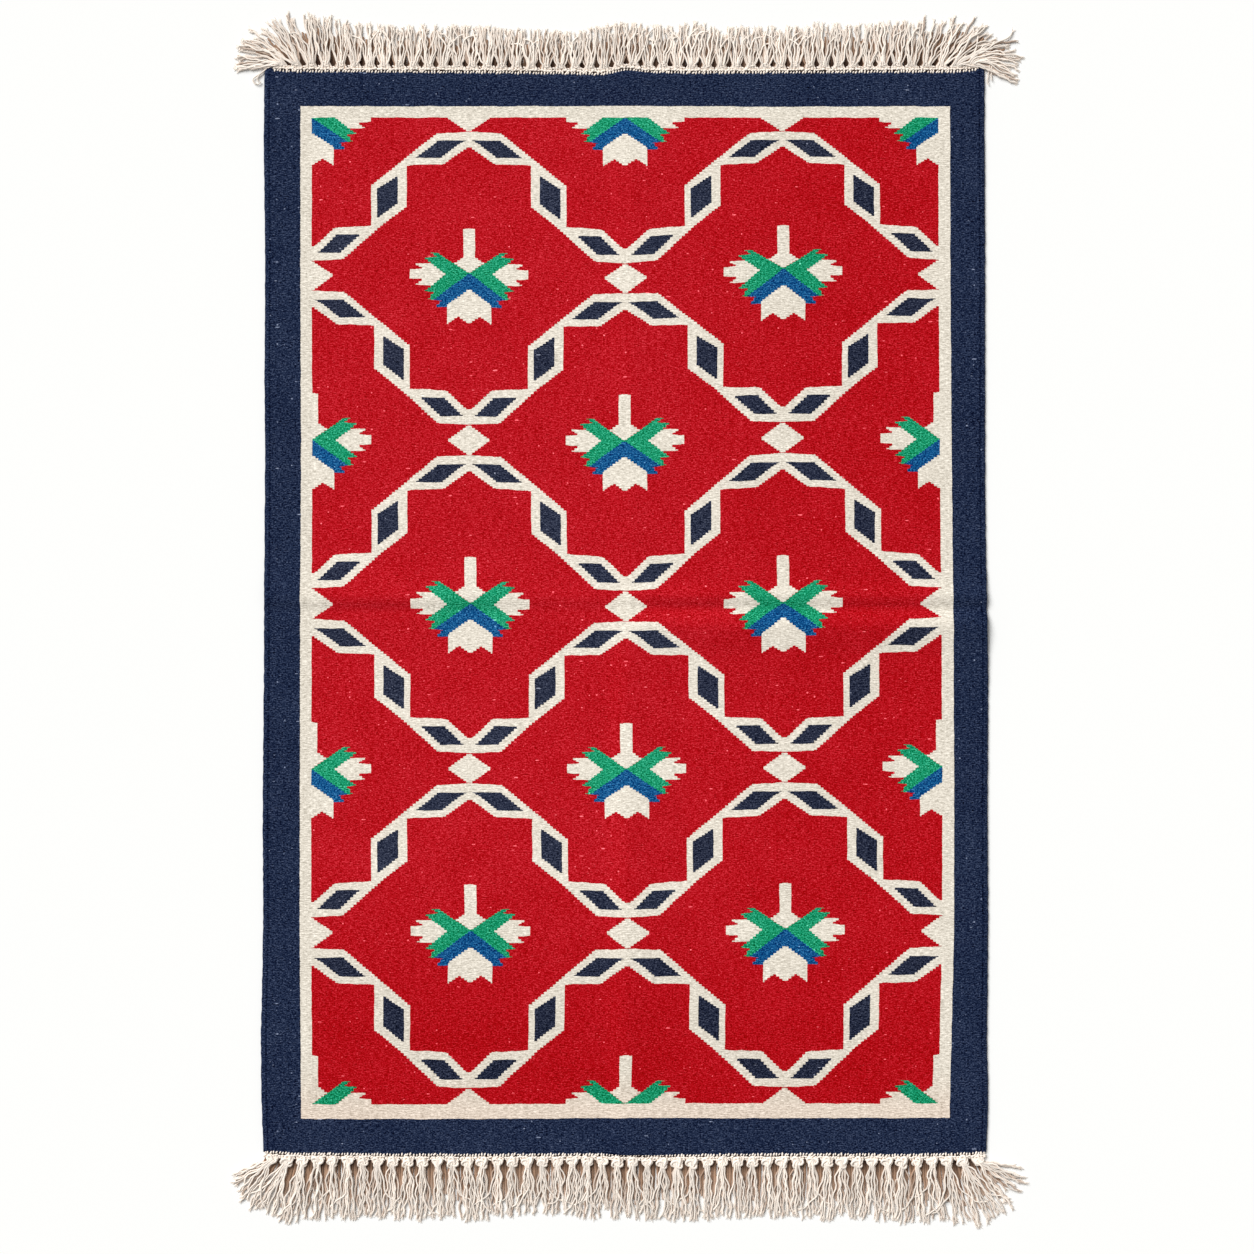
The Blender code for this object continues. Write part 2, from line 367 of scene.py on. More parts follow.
# Strands that hang from the top corners beside the cloth, as places on the floor
CURL_LEFT = (
    (-0.5900, 0.9190), (-0.6010, 0.9085), (-0.6124, 0.9012), (-0.6173, 0.8962), (-0.6140, 0.8900),
    (-0.6070, 0.8890), (-0.6040, 0.8930),
)
CURL_LEFT_INNER = (
    (-0.5920, 0.9170), (-0.6050, 0.9050), (-0.6100, 0.8980), (-0.6080, 0.8930),
)
CURL_RIGHT = (
    (0.6020, 0.9200), (0.6000, 0.9120), (0.5990, 0.9020), (0.5975, 0.8930), (0.6000, 0.8880),
)
CURL_RIGHT_OUTER = (
    (0.6050, 0.9210), (0.6050, 0.9120), (0.6040, 0.9030), (0.6050, 0.8950),
)

# Each end's knots have a size, a height and a yarn radius, in metres. The shades are the painted shadow
# of the dark strands that lie under the tassels, from the heading to their tips
ENDS = (
    End("fringe_top", 1, -0.583, 0.589, 8.0, 95.0, 0.034, 117.0, 0.042, 0.13, 11,
        TRUNK_ROWS_TOP, 9.0, (0.0050, 0.0008, 0.0014), (1.0, 1.0, 0.90, 0.74, 0.62, 0.52),
        (CURL_LEFT, CURL_LEFT_INNER, CURL_RIGHT, CURL_RIGHT_OUTER)),
    End("fringe_bottom", -1, -0.597, 0.597, 4.2, 70.0, 0.034, 80.0, 0.032, 0.02, 23,
        TRUNK_ROWS_BOTTOM, 13.0, (0.0094, 0.0012, 0.0021), (1.0, 0.98, 0.56, 0.50, 0.44, 0.38), ()),
)

# The weave drifts a little, so the rows and columns of the pattern aren't quite straight
LATTICE_ROWS = (
    LatticeRow((-519.7, -259.8, -1.7, 258.2, 516.4), (833.3, 833.3, 833.3, 833.3, 833.3)),
    LatticeRow((-519.7, -259.0, -0.8, 260.7, 517.2), (571.8, 576.0, 566.8, 584.2, 573.5)),
    LatticeRow((-518.8, -259.8, -2.5, 259.0, 518.8), (300.4, 299.6, 298.7, 303.7, 302.0)),
    LatticeRow((-519.7, -256.5, 0.0, 259.8, 521.3), (29.0, 30.6, 24.0, 32.3, 30.6)),
    LatticeRow((-520.5, -259.0, 0.8, 262.3, 523.0), (-244.1, -243.3, -244.1, -241.6, -239.1)),
    LatticeRow((-520.5, -256.5, 3.3, 264.0, 523.0), (-514.7, -510.6, -515.5, -508.1, -511.4)),
    LatticeRow((-518.8, -260.7, -1.7, 262.3, 516.4), (-798.5, -798.5, -796.9, -796.9, -796.9)),
)

# The cream line round the field, outwards from the field's edge, in millimetres
LINE_LEFT = 17.4
LINE_RIGHT = 19.0
LINE_TOP = 19.9
LINE_BOTTOM = 23.0

# Where a weft row changes colour, in millimetres: the row's distance from a diamond, then across
TRELLIS_OUTER = (
    (24.9, 0), (25.2, 3), (27.8, 53), (119.5, 162.5), (189.2, 162.5), (191.5, 220.8), (223, 254.5),
    (224, 262), (274, 262),
)
TRELLIS_INNER = (
    (0, 262), (50, 262), (51.3, 0), (81.3, 42), (83.6, 101), (154, 101), (189.2, 145.3),
    (246.1, 208), (248.2, 262), (274, 262),
)
LOZENGE_LEFT = (
    (0, 262), (39.9, 262), (40.5, 4.5), (46.5, 15.8), (70.8, 46.2), (71.6, 262), (99.6, 262),
    (100.5, 116), (148.6, 116), (175.3, 150), (176.4, 262), (202.3, 262), (203.2, 178.6),
    (235.2, 213.3), (236.1, 262), (274, 262),
)
LOZENGE_RIGHT = (
    (0, 0), (39.9, 0), (40.5, 51.3), (70.8, 88.4), (71.6, 0), (99.6, 0), (100.5, 116),
    (122.9, 150), (175.3, 150), (176.4, 0), (202.3, 0), (203.2, 217.3), (235.2, 249.7),
    (236.1, 0), (274, 0),
)
DIAMOND_HALF_X = 36.0
DIAMOND_HALF_Y = 25.7

# The same for a sprig, from the crossing of its leaves: rows above it are negative
SPRIG_CREAM = (
    (-90, 0), (-78, 0), (-77.3, 9.4), (-28.8, 9.4), (-17.9, 24.5), (0, 0), (26.0, 0),
    (51.3, 36.6), (86, 36.6), (86.7, 0), (90, 0),
)
SPRIG_LEAVES = (
    (-90, 0), (-37.6, 0), (-37.0, 63), (-29.4, 53.6), (-28.2, 73.6), (-18.6, 63.8), (0.7, 38.9),
    (19.8, 63.2), (27.9, 73.6), (29.4, 59.0), (41.8, 67), (44.2, 46.0), (55.0, 55.5), (56.6, 0),
    (90, 0),
)
SPRIG_PETALS = (
    (-90, 0), (-19.1, 0), (-18.4, 90.5), (-9.2, 75.8), (-7.9, 99.5), (7.2, 99), (8.5, 75.8),
    (18.2, 88), (19.2, 0), (90, 0),
)
LEAF_SLOPE_UP = 1.417
LEAF_SLOPE_DOWN = 1.40
CUP_NOTCH_X = 18.2
CUP_NOTCH_Y = 71.0
CUP_SLOPE = 0.66

def length_setting(name, description, default):
    """A setting that is a length."""
    return bpy.props.FloatProperty(
        name=name, description=description, default=default, unit="LENGTH")


def number_setting(name, description, default):
    """A setting that is a plain number."""
    return bpy.props.FloatProperty(name=name, description=description, default=default)


def count_setting(name, description, default):
    """A setting that counts things."""
    return bpy.props.IntProperty(name=name, description=description, default=default, min=1)


def colour_setting(name, description, *default):
    """A setting that is a colour."""
    return bpy.props.FloatVectorProperty(
        name=name, description=description, default=default, subtype="COLOR")


class ClothSettings(bpy.types.PropertyGroup):
    """Sizes and yarn colours of the woven cloth."""

    thickness: length_setting("Thickness", "Thickness of the cloth", 0.004)
    facet: length_setting("Facet", "Distance between the mesh lines", 0.008)
    rim: length_setting("Rim", "Rounding of the cloth's rim", 0.0012)
    warp_mm: number_setting("Warp spacing", "Millimetres from one warp to the next", 2.443)
    pick_mm: number_setting("Pick height", "Millimetres from one weft row to the next", 1.15)
    red: colour_setting("Field red", "Yarn of the field", 0.497, 0.0044, 0.0112)
    navy: colour_setting("Border navy", "Yarn of the border", 0.0122, 0.0218, 0.0570)
    ink: colour_setting("Lozenge navy", "Yarn of the lozenges", 0.0230, 0.0290, 0.0560)
    cream: colour_setting("Cream", "Undyed yarn of the trellis and the line", 0.830, 0.765, 0.655)
    blue: colour_setting("Leaf blue", "Yarn of the lower leaves", 0.0034, 0.0880, 0.2560)
    green: colour_setting("Leaf green", "Yarn of the upper leaves", 0.0080, 0.3120, 0.1480)


class FringeSettings(bpy.types.PropertyGroup):
    """Sizes and yarn colours of the fringe, its knots and the heading."""

    tassels: count_setting("Tassels", "Tassels at each end", 48)
    strands: count_setting("Strands", "Loose strands of a tassel", 11)
    # Dark strands under each tassel: painted shadow between the tassels
    under_strands: count_setting("Under strands", "Shaded strands below a tassel", 8)
    strand_radius: length_setting("Strand radius", "Radius of a strand", 0.00160)
    step: length_setting("Step", "Distance between the points of a strand", 0.0052)
    link_spacing: length_setting("Link spacing", "Distance between the links of the heading", 0.0049)
    cotton: colour_setting("Cotton", "Undyed yarn of the fringe", 0.975, 0.878, 0.780)
    # Painted shade: the tan that lower strands and the shadow strands are darkened towards
    tan: colour_setting("Tan yarn", "Yarn that lies low in a tassel", 0.400, 0.250, 0.165)
    # Painted shadow: the darkest colour of the strands under the tassels, beside the heading
    shade: colour_setting("Shaded yarn", "Yarn under the tassels, beside the heading", 0.040, 0.020, 0.014)


class StageSettings(bpy.types.PropertyGroup):
    """Floor, lights and camera."""

    floor_size: length_setting("Floor size", "Side of the floor", 80.0)
    floor_colour: colour_setting("Floor", "Colour of the floor", 0.970, 0.970, 0.955)
    sky_strength: number_setting("Sky strength", "Even light from all round", 0.28)
    sun_strength: number_setting("Key strength", "Soft light from the upper left", 3.70)
    camera_height: length_setting("Camera height", "Height of the camera", 4.9)
    lens: number_setting("Lens", "Focal length in millimetres", 85.0)


def between(rows, place, column):
    """Read a column of a table at a place, on straight lines between its rows."""
    if place <= rows[0][0]:
        return rows[0][column]
    for low, high in zip(rows, rows[1:]):
        if place <= high[0]:
            share = (place - low[0]) / (high[0] - low[0])
            return low[column] * (1 - share) + high[column] * share
    return rows[-1][column]


def smooth_step(value):
    """Go from 0 to 1 with a level start and end."""
    value = min(max(value, 0.0), 1.0)
    return value * value * (3 - 2 * value)


def smooth_between(rows, place, column):
    """Read a column of a table, on a curve that is softened over a few millimetres."""
    parts = [between(rows, place + FOLD_SOFTENING * turn, column) for turn in (-1, -0.5, 0, 0.5, 1)]
    return sum(parts) / len(parts)


def fold_lift(across, along):
    """How high the folds lift the cloth off the floor."""
    beside = across - FOLD_ALONG_X
    above = along - FOLD_ACROSS_Y
    right = smooth_step(0.5 + beside / FOLD_TURNOVER)
    upper = smooth_step(0.5 + above / FOLD_TURNOVER)
    ridge = smooth_between(ACROSS_FOLD_ROWS, above, FIRST)
    trough = smooth_between(ACROSS_FOLD_ROWS, above, SECOND)
    lower_ridge = smooth_between(ALONG_FOLD_ROWS, beside, FIRST)
    upper_ridge = smooth_between(ALONG_FOLD_ROWS, beside, SECOND)
    fade = 1 - FOLD_FADE_SHARE * smooth_step((across - FOLD_FADE_START) / FOLD_FADE_RUN)
    lift_across = ridge * (1 - right) * fade + trough * right
    lift_along = lower_ridge * (1 - upper) + upper_ridge * upper
    return max(lift_across, lift_along)


def cloth_point(across, along):
    """A point of the cloth's underside: its nominal place, moved to the outline and the folds."""
    share = (across - CLOTH_LEFT) / (CLOTH_RIGHT - CLOTH_LEFT)
    left = between(SIDE_ROWS, along, LEFT)
    right = between(SIDE_ROWS, along, RIGHT)
    near_top = max(0.0, 1 - (CLOTH_TOP - along) / END_FADE)
    near_bottom = max(0.0, 1 - (along - CLOTH_BOTTOM) / END_FADE)
    out_top = between(END_ROWS, across, TOP)
    out_bottom = between(END_ROWS, across, BOTTOM)
    x = across - left * (1 - share) + right * share
    y = along + near_top * out_top - near_bottom * out_bottom
    return Vector((x, y, fold_lift(across, along)))


def read_line(places, values, place):
    """Read a value from two rows of numbers, and go on straight beyond their ends."""
    last = len(places) - 2
    index = 0
    rising = places[-1] > places[0]
    while index < last and (place > places[index + 1]) == rising:
        index += 1
    share = (place - places[index]) / (places[index + 1] - places[index])
    return values[index] * (1 - share) + values[index + 1] * share


def lattice_line(counts, rows, count, axis):
    """The five or seven places of a line of the lattice at a fractional count."""
    count = min(max(count, 0.0), len(rows) - 1.0)
    return [read_line(counts, [getattr(row, axis)[at] for row in rows], count)
            for at in range(len(rows[0].across))]


def chart_place(x, y):
    """Where a point of the cloth lies on the chart: columns from the left, rows from the top."""
    rows = list(range(len(LATTICE_ROWS)))
    columns = list(range(len(LATTICE_ROWS[0].across)))
    column = (x / MM - LATTICE_ROWS[0].across[0]) / HALF_REPEAT_X
    row = (LATTICE_ROWS[0].along[0] - y / MM) / HALF_REPEAT_Y
    for _ in range(CHART_ROUNDS):
        across = lattice_line(rows, LATTICE_ROWS, row, "across")
        column = read_line(across, columns, x / MM)
        held = min(max(column, 0.0), len(columns) - 1.0)
        along = [read_line(columns, line.along, held) for line in LATTICE_ROWS]
        row = read_line(along, rows, y / MM)
    return column, row


class Value:
    """What a node gives out. Arithmetic on it adds the nodes that do the same in its tree.

    A comparison gives a mark: 1 where it holds and 0 elsewhere, so a product of marks is where
    all of them hold.
    """

    def __init__(self, net, socket):
        self.net = net
        self.socket = socket

    def __add__(self, other):
        return self.net.math("ADD", self, other)

    def __sub__(self, other):
        return self.net.math("SUBTRACT", self, other)

    def __rsub__(self, other):
        return self.net.math("SUBTRACT", other, self)

    def __mul__(self, other):
        return self.net.math("MULTIPLY", self, other)

    def __truediv__(self, other):
        return self.net.math("DIVIDE", self, other)

    def __mod__(self, other):
        return self.net.math("FLOORED_MODULO", self, other)

    def __lt__(self, other):
        return self.net.math("LESS_THAN", self, other)

    def __gt__(self, other):
        return self.net.math("LESS_THAN", other, self)

    def __abs__(self):
        return self.net.math("ABSOLUTE", self)


class Net:
    """Adds nodes to a tree and joins them. An input may be a number, a colour or a Value."""

    def __init__(self, tree):
        self.tree = tree

    def node(self, kind, inputs=(), **settings):
        """Add a node, set its options, and fill its inputs by name or number."""
        made = self.tree.nodes.new(kind)
        for name, setting in settings.items():
            setattr(made, name, setting)
        for socket, value in dict(inputs).items():
            self.fill(made.inputs[socket], value)
        return made

    def out(self, kind, inputs=(), output=0, **settings):
        """Add a node and take one of its outputs, by name or number."""
        return Value(self, self.node(kind, inputs, **settings).outputs[output])

    def parts(self, vector, kind="ShaderNodeSeparateXYZ"):
        """The three numbers of a vector or a colour."""
        return [Value(self, socket) for socket in self.node(kind, {0: vector}).outputs]

    def fill(self, socket, value):
        """Link a socket, or set its own value."""
        if isinstance(value, Value):
            self.tree.links.new(value.socket, socket)
        else:
            socket.default_value = value

    def math(self, operation, *values):
        """One arithmetic step."""
        return self.out("ShaderNodeMath", dict(enumerate(values)), operation=operation)

    def vector_math(self, operation, first, second):
        """One arithmetic step on vectors or colours."""
        return self.out("ShaderNodeVectorMath", {0: first, 1: second}, operation=operation)

    def floor(self, value):
        """The whole number below a value."""
        return self.math("FLOOR", value)

    def larger(self, first, second):
        """The larger of two values, or a mark where either holds."""
        return self.math("MAXIMUM", first, second)

    def ramp(self, value, low, high):
        """Go from 0 to 1 as a value goes from low to high."""
        return self.out("ShaderNodeMapRange", {"Value": value, "From Min": low, "From Max": high})

    def pick(self, share, low, high):
        """Mix two colours."""
        return self.out("ShaderNodeMix", {0: share, 6: low, 7: high}, 2, data_type="RGBA")

    def table(self, rows, value, low, high, top):
        """Read a value from rows of numbers, on straight lines between them."""
        node = self.node("ShaderNodeFloatCurve", {"Value": self.ramp(value, low, high)})
        curve = node.mapping.curves[0]
        points = [((row[0] - low) / (high - low), row[1] / top) for row in rows]
        for point, spot in zip(curve.points, (points[0], points[-1])):
            point.location = spot
        for spot in points[1:-1]:
            curve.points.new(*spot)
        for point in curve.points:
            point.handle_type = "VECTOR"
        node.mapping.update()
        return Value(self, node.outputs[0]) * top

    def noise(self, vector, scale, detail=2.0):
        """A soft random value of about 0 to 1."""
        return self.out("ShaderNodeTexNoise", {"Vector": vector, "Scale": scale, "Detail": detail})

    def dim(self, tint, factor):
        """A colour made brighter or darker by a factor."""
        return self.out("ShaderNodeVectorMath", {0: tint, "Scale": factor}, operation="SCALE")

    def point(self, x, y, z=0.0):
        """Join three numbers into a vector."""
        return self.out("ShaderNodeCombineXYZ", {0: x, 1: y, 2: z})

    def attribute(self, name, output):
        """A value that is stored on the mesh, as the material reads it."""
        return self.out("ShaderNodeAttribute", (), output, attribute_name=name)


def new_material(name):
    """A matt cotton material, with its net of nodes and its shader."""
    material = bpy.data.materials.new(name)
    material.use_nodes = True
    net = Net(material.node_tree)
    shader = material.node_tree.nodes["Principled BSDF"]
    cotton = {
        "Metallic": 0.0, "Specular IOR Level": 0.04, "Sheen Weight": 0.01, "Sheen Roughness": 0.6}
    for label, value in cotton.items():
        shader.inputs[label].default_value = value
    return material, net, shader


def finish(net, shader, base, height, strength, distance, rough):
    """Join a colour, a bump and a roughness to a shader."""
    bump = net.out("ShaderNodeBump", {"Height": height, "Strength": strength, "Distance": distance})
    for label, value in {"Base Color": base, "Normal": bump, "Roughness": rough}.items():
        net.fill(shader.inputs[label], value)


def shifted(net, base, push):
    """A colour moved by an amount that looks the same to the eye, whatever the colour's depth."""
    seen = net.out("ShaderNodeGamma", {"Color": base, "Gamma": 1 / EYE_GAMMA})
    held = net.vector_math("MAXIMUM", net.vector_math("ADD", seen, push), (0.0, 0.0, 0.0))
    return net.out("ShaderNodeGamma", {"Color": held, "Gamma": EYE_GAMMA})


def colour(values):
    """A colour property with its alpha."""
    return (values[0], values[1], values[2], 1.0)


def stepped(net, value, count, share):
    """Pull a value towards the middle of its step, as the weave does to a slanting edge."""
    size = 1 / count
    middle = (net.floor(value / size) + 0.5) * size
    return middle * share + value * (1 - share)


def trellis_marks(net, x, y):
    """Cream band and navy lozenges of the trellis, from a diamond's middle."""
    outer, inner, left, right = [
        net.table(rows, y, 0.0, HALF_REPEAT_Y, TRELLIS_REACH)
        for rows in (TRELLIS_OUTER, TRELLIS_INNER, LOZENGE_LEFT, LOZENGE_RIGHT)]
    band = (x < outer) * net.larger(inner < x, y < FILLED_BAND_Y)
    return band, (left < x) * (x < right)


def sprig_marks(net, x, y):
    """Cream cup, green leaves, blue leaves and cream petals of a sprig, from its crossing."""
    cream_reach, leaf_reach, petal_reach = [
        net.table(rows, y, SPRIG_LOW, SPRIG_HIGH, SPRIG_REACH)
        for rows in (SPRIG_CREAM, SPRIG_LEAVES, SPRIG_PETALS)]
    outside = net.larger(y * -LEAF_SLOPE_UP, y * LEAF_SLOPE_DOWN) < x
    in_leaf = x < leaf_reach
    hem = abs(x - CUP_NOTCH_X) * CUP_SLOPE + CUP_NOTCH_Y
    cup = (x < cream_reach) * (y < hem)
    blue = in_leaf * (y > 0.0) * (1.0 - outside)
    petal = (x < petal_reach) * (1.0 - in_leaf)
    return cup, in_leaf * outside, blue, petal


def weave_pattern(net, chart_x, chart_y, cloth):
    """The yarn colour at a place on the chart, given in half repeats."""
    column = net.floor(chart_x)
    row = net.floor(chart_y)
    share_x = chart_x - column
    share_y = chart_y - row
    flipped_x = 1.0 - share_x
    odd = (column + row) % 2.0
    from_diamond = share_x * odd + flipped_x * (1.0 - odd)
    band, lozenge = trellis_marks(net, from_diamond * HALF_REPEAT_X, share_y * HALF_REPEAT_Y)
    low_half = share_y > 0.5
    near_y = (share_y - low_half) * HALF_REPEAT_Y
    swap = abs(odd - low_half)
    sprig_x = (share_x * (1.0 - swap) + flipped_x * swap) * HALF_REPEAT_X
    cup, green, blue, petal = sprig_marks(net, sprig_x, near_y)
    slant_x = (HALF_REPEAT_X - sprig_x) / DIAMOND_HALF_X
    slant_y = abs(near_y) / DIAMOND_HALF_Y
    diamond = slant_x + slant_y < 1.0
    result = net.pick(net.larger(band, diamond), colour(cloth.red), colour(cloth.cream))
    for mark, yarn in ((lozenge, cloth.ink), (petal, cloth.cream), (green, cloth.green),
                       (blue, cloth.blue), (cup, cloth.cream)):
        result = net.pick(mark, result, colour(yarn))
    return result


def inside_box(chart_x, chart_y, left, right, top, bottom):
    """1 inside a rectangle of the chart, given in half repeats."""
    return (chart_x > left) * (chart_x < right) * (chart_y > top) * (chart_y < bottom)


def spot_place(net, across, along, wide, high):
    """A place counted in spots that are so many millimetres wide and high."""
    return net.point(across / wide, along / high)


def spot_noise(net, across, along, spots):
    """A soft random value round 0, in spots of the given width and height."""
    return net.noise(spot_place(net, across, along, *spots), 1.0) - 0.5


def fleck_marks(net, across, along, wide, high, largest):
    """1 on small pale flecks, of which there is one in every cell of the given millimetres."""
    place = spot_place(net, across, along, wide, high)
    cells = net.node("ShaderNodeTexVoronoi", {"Vector": place, "Scale": 1.0})
    chance = net.parts(Value(net, cells.outputs["Color"]), "ShaderNodeSeparateColor")[0]
    reach = net.math("POWER", chance, FLECK_POWER) * largest
    return Value(net, cells.outputs["Distance"]) < reach


def weave_material(cloth):
    """The woven cotton: its charted pattern, its beads of weft, flecks, streaks and selvedge, and painted
    shade towards the right and the bottom.
    """
    material, net, shader = new_material("woven_cotton")
    metres = net.parts(net.out("ShaderNodeTexCoord", output="Object"))
    across = metres[0] * MM_PER_METRE
    along = metres[1] * MM_PER_METRE
    counts = net.parts(net.out("ShaderNodeUVMap", uv_map="chart"))

    warp = net.floor(across / cloth.warp_mm)
    rows = (warp % 2.0) * 0.5 + along / cloth.pick_mm
    bead = net.out("ShaderNodeTexWhiteNoise", {"Vector": net.point(warp, net.floor(rows))},
                   noise_dimensions="2D")
    jitter = bead - 0.5

    chart = []
    flats = (net.point(across, along), net.point(along, across))
    for axis, size in enumerate((HALF_REPEAT_X, HALF_REPEAT_Y)):
        drift = net.noise(flats[axis], DRIFT_SCALES[axis], 1.0) - 0.5
        push = drift * DRIFT_MM[axis] + jitter * BEAD_JITTER_MM
        place = push * (1 / size) + counts[axis]
        chart.append(stepped(net, place, STEP_COUNTS[axis], STEP_SHARES[axis]))

    last_column = float(len(LATTICE_ROWS[0].across) - 1)
    last_row = float(len(LATTICE_ROWS) - 1)
    field = inside_box(*chart, 0.0, last_column, 0.0, last_row)
    line = inside_box(
        *chart, -LINE_LEFT / HALF_REPEAT_X, last_column + LINE_RIGHT / HALF_REPEAT_X,
        -LINE_TOP / HALF_REPEAT_Y, last_row + LINE_BOTTOM / HALF_REPEAT_Y)
    base = net.pick(line, colour(cloth.navy), colour(cloth.cream))
    base = net.pick(field, base, weave_pattern(net, *chart, cloth))

    grain = spot_noise(net, across, along, GRAIN_SPOTS)
    streak = spot_noise(net, across, along, STREAK_SPOTS)
    patch = spot_noise(net, across, along, PATCH_SPOTS)
    red_part, green_part = net.parts(base, "ShaderNodeSeparateColor")[:2]
    pale = net.ramp(green_part, *PALE_GREEN)
    leaf = net.ramp(green_part - red_part, *LEAF_GREEN)
    from_seam = abs(net.attribute("selvedge_mm", "Fac") - SEAM_FROM_EDGE)
    seam = 1.0 - net.ramp(from_seam, *SEAM_HALF_WIDTH)
    # Painted shade of light falling off: darker towards the right and the bottom of the field
    painted_falloff_across = net.ramp(across, *FALLOFF_SHADE_ACROSS) * FALLOFF_SHADE_ACROSS_SHARE
    painted_falloff = field * net.larger(painted_falloff_across, net.ramp(along, *FALLOFF_SHADE_ALONG))
    dots = fleck_marks(net, across, along, *DOT_FLECKS)
    fleck = net.larger(dots, fleck_marks(net, across, along, *DASH_FLECKS))
    push = (grain * (leaf * GRAIN_PUSH_LEAF + (pale * GRAIN_PUSH_PALE + GRAIN_PUSH))
            + streak * (pale * STREAK_PUSH_PALE + STREAK_PUSH)
            + jitter * BEAD_PUSH + patch * PATCH_PUSH + seam * SEAM_PUSH + painted_falloff * FALLOFF_SHADE_PUSH
            + (line - field) * LINE_PUSH + fleck * (pale * FLECK_PUSH_PALE + FLECK_PUSH))
    aged = net.dim(AGED_TINT, pale * net.ramp(along, *AGED_ALONG))
    base = shifted(net, base, net.vector_math("ADD", aged, push))

    rise_x = net.math("SINE", net.math("FRACT", across / cloth.warp_mm) * math.pi)
    rise_y = net.math("SINE", net.math("FRACT", rows) * math.pi)
    height = rise_x * rise_y * BEAD_RISE + bead * UNEVEN_RISE + grain * GRAIN_RISE + seam * SEAM_RISE
    rough = grain * WEAVE_ROUGH_GRAIN + WEAVE_ROUGH
    finish(net, shader, base, height, strength=0.55, distance=0.0005, rough=rough)
    return material


def yarn_material(name, fringe, strands):
    """Undyed cotton yarn. On strands its twist and its painted shade follow attributes of the yarn."""
    material, net, shader = new_material(name)
    place = net.out("ShaderNodeTexCoord", output="Object")
    fine = net.noise(place, FINE_SPOTS, 3.0)
    soft = net.noise(place, SOFT_SPOTS)
    tone = (fine - 0.5) * FINE_SHARE + (soft - 0.5) * SOFT_SHARE + 1.0
    base = tuple(fringe.cotton)
    height = soft + fine
    if strands:
        # depth is the painted shade stored on the yarn, for lower layers and for the strands under the
        # tassels
        depth, own_tone, along = net.parts(net.attribute("yarn", "Vector"))
        level, upright = net.parts(net.attribute("turn", "Vector"))[:2]
        # Painted shade: the flanks of each strand, where its neighbours shade it, go towards tan
        flank = 1.0 - net.ramp(abs(upright), 0.0, FLANK_REACH)
        shade = flank * FLANK_PAINTED_SHADE + depth
        phase = along * (2 * math.pi / TWIST_PITCH)
        ply = abs(net.math("SINE", phase) * level + net.math("COSINE", phase) * upright)
        tone = tone * (own_tone * STRAND_TONE_RANGE + STRAND_TONE)
        # Painted shade in the grooves between the plies, where the bump is low
        tone = tone * (ply * PLY_GROOVE_SHADE_RANGE + PLY_GROOVE_SHADE)
        # Painted shade: cotton goes to tan, then to the dark shadow colour, as the painted shade grows
        base = net.pick(net.ramp(shade, 0.0, 0.5), colour(fringe.cotton), colour(fringe.tan))
        base = net.pick(net.ramp(shade, 0.5, 1.0), base, colour(fringe.shade))
        height = ply + fine * PLY_RISE_FINE
    rough = fine * YARN_ROUGH_FINE + YARN_ROUGH
    finish(net, shader, net.dim(base, tone), height, strength=0.6, distance=0.0004, rough=rough)
    return material


def floor_material(stage):
    """Plain pale floor."""
    material, net, shader = new_material("pale_floor")
    grain = net.noise(net.out("ShaderNodeTexCoord", output="Object"), 2.0) * 0.004 + 0.998
    net.fill(shader.inputs["Base Color"], net.dim(tuple(stage.floor_colour), grain))
    for label, value in {"Roughness": 0.95, "Sheen Weight": 0.0, "Specular IOR Level": 0.0}.items():
        shader.inputs[label].default_value = value
    return material


def link_object(name, mesh):
    """Put a mesh into the scene as an object."""
    thing = bpy.data.objects.new(name, mesh)
    bpy.context.scene.collection.objects.link(thing)
    return thing


def mesh_from(bm, name):
    """Turn an edited mesh into a mesh of its own."""
    mesh = bpy.data.meshes.new(name)
    bm.to_mesh(mesh)
    bm.free()
    return mesh


def bake_modifiers(thing):
    """Replace an object's mesh by the one that its modifiers make."""
    bpy.context.view_layer.update()
    graph = bpy.context.evaluated_depsgraph_get()
    mesh = bpy.data.meshes.new_from_object(thing.evaluated_get(graph))
    if not mesh.polygons:
        raise RuntimeError(thing.name + " came out with no faces")
    thing.modifiers.clear()
    thing.data = mesh
    return mesh


def keep_piece(thing):
    """Let a piece ride with the rug."""
    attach(thing, "root")


def bake_map(mesh, thickness):
    """A second map that fills its square with the cloth's face, for baking."""
    xs = [vert.co.x for vert in mesh.vertices]
    ys = [vert.co.y for vert in mesh.vertices]
    low = Vector((min(xs), min(ys)))
    size = Vector((max(xs), max(ys))) - low
    margin = 2 * thickness
    mesh.uv_layers.new(name="OFBake")
    layer = mesh.uv_layers["OFBake"]
    for face in mesh.polygons:
        flat = abs(face.normal.z) > LEVEL_FACE
        top = max(mesh.vertices[index].co.z for index in face.vertices)
        for loop in face.loop_indices:
            point = mesh.vertices[mesh.loops[loop].vertex_index].co
            drop = 0.0 if flat else top - point.z
            spot = Vector((point.x, point.y)) + Vector((face.normal.x, face.normal.y)) * drop
            layer.data[loop].uv = ((spot.x - low.x + margin) / (size.x + 2 * margin),
                                   (spot.y - low.y + margin) / (size.y + 2 * margin))


